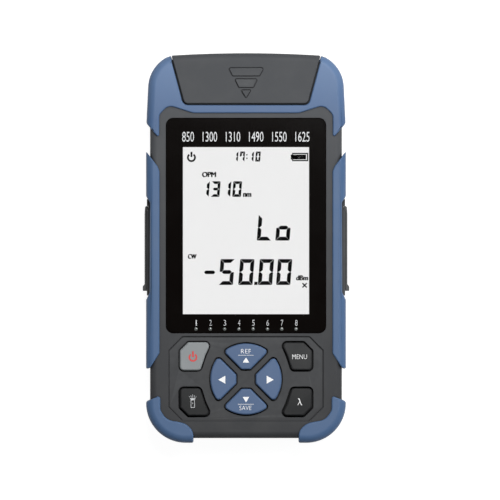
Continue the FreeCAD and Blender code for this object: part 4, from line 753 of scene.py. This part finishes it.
def makeReading():
    # digits, clock, words and marks that the display shows
    height = readingLook["height"]
    bm = bmesh.new()
    for row in mainRows:
        inkRow(bm, row)
    inkShape(bm, decimalPoint)
    inkShape(bm, minusBar, 0.3)
    layInk(bm, "reading_digits", segmentBlack, "meter", height)

    bm = bmesh.new()
    inkRow(bm, clockRow)
    for y in clockDots:
        inkShape(bm, [(0.1, y), (0.62, y), (0.66, y + 0.55), (0.14, y + 0.55)])
    layInk(bm, "reading_clock", segmentBlack, "meter", height)

    bm = bmesh.new()
    bold = readingLook["bold"]
    for nudge in (0, bold, bold * 2):
        # each word is laid three times, a little further on, to make it bold
        rise = nudge / 3
        for words, (x0, x1, y0, y1) in readingWords.items():
            inkText(bm, words, x0 + nudge, x1 + nudge, y0 + rise, y1 + rise)
    layInk(bm, "reading_words", segmentBlack, "meter", height)

    bm = bmesh.new()
    inkPower(bm, (-23.1, 38.3), 1.12, 1.9, 0.4, 38.5, 40.75)
    inkBox(bm, 18.95, 25.45, 37.5, 39.55)  # charge left in the battery mark
    layInk(bm, "reading_icons", segmentBlack, "meter", readingLook["iconHeight"])
    bm = bmesh.new()
    inkFrame(bm, 19.5, 26.35, 36.75, 40.3, 0.52)
    layInk(bm, "reading_battery_outline", segmentBlack, "meter", height, readingLook["outlineThick"])

    bm = bmesh.new()
    long, wide = crossLook["halfLength"], crossLook["halfWidth"]
    for angle in (45, -45):
        bar = inkBox(bm, -long, long, -wide, wide)
        turn = Matrix.Rotation(math.radians(angle), 4, "Z")
        shift = Matrix.Translation((crossLook["x"] * mm, crossLook["y"] * mm, 0))
        bmesh.ops.transform(bm, matrix=shift @ turn, verts=bar.verts)
    layInk(bm, "reading_cross", segmentBlack, "meter", readingLook["iconHeight"])


makeReading()
print("reading laid on the display")

legendLook = {
    "keyTop": 35.7, "windowTop": 35.2, "windowThick": 0.02, "thin": 0.012,
    "scale": ("850   1300   1310   1490   1550   1625", -27.0, 26.9, 45.0, 49.2),
    "lampNudge": 0.12, "lampHalf": 0.5, "firstLampHalf": 0.22, "lampLow": -32.9, "lampHigh": -30.46}


def makeWindowLegends():
    # wavelengths over the display and lamp numbers under it
    top, thick = legendLook["windowTop"], legendLook["windowThick"]
    bm = bmesh.new()
    inkText(bm, *legendLook["scale"])
    layInk(bm, "window_wavelengths", legendGrey, "meter", top, thick)
    bm = bmesh.new()
    for number in range(windowLook["lamps"]):
        x = lampPlace(number) + legendLook["lampNudge"]
        half = legendLook["firstLampHalf"] if number == 0 else legendLook["lampHalf"]
        inkText(bm, str(number + 1), x - half, x + half, legendLook["lampLow"], legendLook["lampHigh"],
                legendLook["thin"])
    layInk(bm, "lamp_numbers", legendGrey, "meter", top, thick)


torchLook = {
    "stroke": 0.2, "barrel": (-23.38, -21.68, -67.6, -64.25), "switch": (-22.65, -22.41, -66.0, -65.45),
    "head": [(-23.3, -64.2), (-21.76, -64.2), (-21.42, -63.8), (-21.42, -63.62), (-23.64, -63.62),
             (-23.64, -63.8)],
    "rayFrom": -63.3, "rayHalf": 0.08,
    # each ray's place at the torch, its place at the tip and how far up the tip is
    "rays": ((-23.75, -24.0, -62.75), (-23.15, -23.35, -62.35), (-22.53, -22.53, -61.95),
             (-21.91, -21.71, -62.35), (-21.31, -21.06, -62.75))}


def inkTorch(bm):
    inkFrame(bm, *torchLook["barrel"], torchLook["stroke"])
    inkShape(bm, torchLook["head"])
    inkBox(bm, *torchLook["switch"])
    low, half = torchLook["rayFrom"], torchLook["rayHalf"]
    for foot, tip, high in torchLook["rays"]:
        inkShape(bm, [(foot - half, low), (foot + half, low), (tip + half, high), (tip - half, high)])


# for each key its ink, its word with left, right, lower and upper limits, and its shapes
keyMarks = {
    "up": (legendWhite, ("REF", -2.1, 2.1, -44.65, -42.8), [
        [(-3.3, -45.47), (3.3, -45.47), (3.3, -45.31), (-3.3, -45.31)],
        [(-1.38, -48.5), (1.38, -48.5), (0, -46.35)]]),
    "down": (legendWhite, ("SAVE", -2.75, 2.3, -68.6, -66.8), [
        [(-3.3, -66.22), (3.3, -66.22), (3.3, -66.06), (-3.3, -66.06)],
        [(-1.38, -63.05), (0, -65.35), (1.38, -63.05)]]),
    "left": (legendWhite, None, [[(-8.75, -57.45), (-8.75, -54.05), (-11.75, -55.75)]]),
    "right": (legendWhite, None, [[(8.75, -57.45), (8.75, -54.05), (11.75, -55.75)]]),
    "menu": (legendWhite, ("MENU", 19.6, 25.8, -47.0, -45.05), []),
    "power": (powerRed, None, []),
    "torch": (legendGrey, None, []),
    "wavelength": (legendWhite, None, [
        [(23.8, -66.5), (23.8, -66.3), (23.56, -66.28), (22.72, -63.95), (22.46, -63.65), (22.12, -63.65),
         (21.98, -63.9), (22.04, -64.02), (22.22, -63.92), (22.38, -64.06), (23.22, -66.34), (23.4, -66.5)],
        [(21.8, -66.5), (22.06, -66.5), (22.74, -65.25), (22.64, -64.95)]])}


def makeKeyLegends():
    for name, (ink, word, shapes) in keyMarks.items():
        bm = bmesh.new()
        if word:
            inkText(bm, *word, legendLook["thin"])
        for shape in shapes:
            inkShape(bm, shape)
        if name == "power":
            inkPower(bm, (-22.45, -46.3), 1.15, 1.85, 0.38, -46.2, -43.7)
        if name == "torch":
            inkTorch(bm)
        layInk(bm, "legend_" + name, ink, "key_%s_body" % name, legendLook["keyTop"])


makeWindowLegends()
makeKeyLegends()
print("legends printed")


studioLook = {
    "worldLight": 0.06, "floorTone": 0.3, "floorGlow": 0.96, "floorRoughness": 0.9, "floorSize": 6.0,
    "aim": (0, 0, 0.02), "eye": (1.7 * mm, -0.85 * mm, 8.0), "lens": 1354.8, "sensor": 36,
    "clipStart": 1, "clipEnd": 20}
# places and sizes in metres; a light that isn't mirrored stays out of the window's reflections
lights = {
    "mainSoftbox": {"at": (0.12, 0.28, 0.85), "size": 0.4, "power": 7.4, "mirrored": True},
    "rightSoftbox": {"at": (1.2, 0.1, 0.24), "size": 0.5, "power": 5.2, "mirrored": False},
    "leftSoftbox": {"at": (-1.2, 0.3, 0.5), "size": 0.5, "power": 0.5, "mirrored": False}}


def makeFloor():
    # pale floor that the eye and reflections see as white; it still keeps shadow
    bm = bmesh.new()
    bmesh.ops.create_grid(bm, x_segments=1, y_segments=1, size=studioLook["floorSize"] / 2)
    mesh = bpy.data.meshes.new("floor")
    bm.to_mesh(mesh)
    bm.free()
    floor = bpy.data.objects.new("floor", mesh)
    scene.collection.objects.link(floor)
    pale = studioLook["floorTone"]
    material, tree, shader = newMaterial("floorPaper", {
        "Base Color": (pale, pale, pale, 1), "Roughness": studioLook["floorRoughness"],
        "Specular IOR Level": 0.0, "Emission Color": (1, 1, 1, 1)})
    path = addNode(tree, "ShaderNodeLightPath", {}).outputs
    seen = addMath(tree, "MAXIMUM", path["Is Camera Ray"], path["Is Glossy Ray"])
    seen = addMath(tree, "MAXIMUM", seen, path["Is Transmission Ray"])
    glow = addMath(tree, "MULTIPLY", seen, studioLook["floorGlow"])
    feed(tree, shader.inputs["Emission Strength"], glow)
    mesh.materials.append(material)


def makeLights():
    world = bpy.data.worlds.new("studioRoom")
    scene.world = world
    world.use_nodes = True
    background = world.node_tree.nodes["Background"]
    background.inputs["Strength"].default_value = studioLook["worldLight"]
    background.inputs["Color"].default_value = (1, 1, 1, 1)
    aim = Vector(studioLook["aim"])
    for name, look in lights.items():
        lamp = bpy.data.lights.new(name, "AREA")
        lamp.shape = "SQUARE"
        lamp.size = look["size"]
        lamp.energy = look["power"]
        thing = bpy.data.objects.new(name, lamp)
        thing.location = look["at"]
        thing.visible_glossy = look["mirrored"]
        thing.rotation_mode = "QUATERNION"
        thing.rotation_quaternion = (aim - thing.location).to_track_quat("-Z", "Y")
        scene.collection.objects.link(thing)


def makeCamera():
    # far away with a long lens, looking straight down on the meter
    camera = bpy.data.cameras.new("camera")
    camera.sensor_width = studioLook["sensor"]
    camera.lens = studioLook["lens"]
    camera.clip_start = studioLook["clipStart"]
    camera.clip_end = studioLook["clipEnd"]
    eye = bpy.data.objects.new("camera", camera)
    eye.location = studioLook["eye"]
    scene.collection.objects.link(eye)
    scene.camera = eye
    scene.view_settings.view_transform = "Standard"


makeFloor()
makeLights()
makeCamera()
print("studio set")
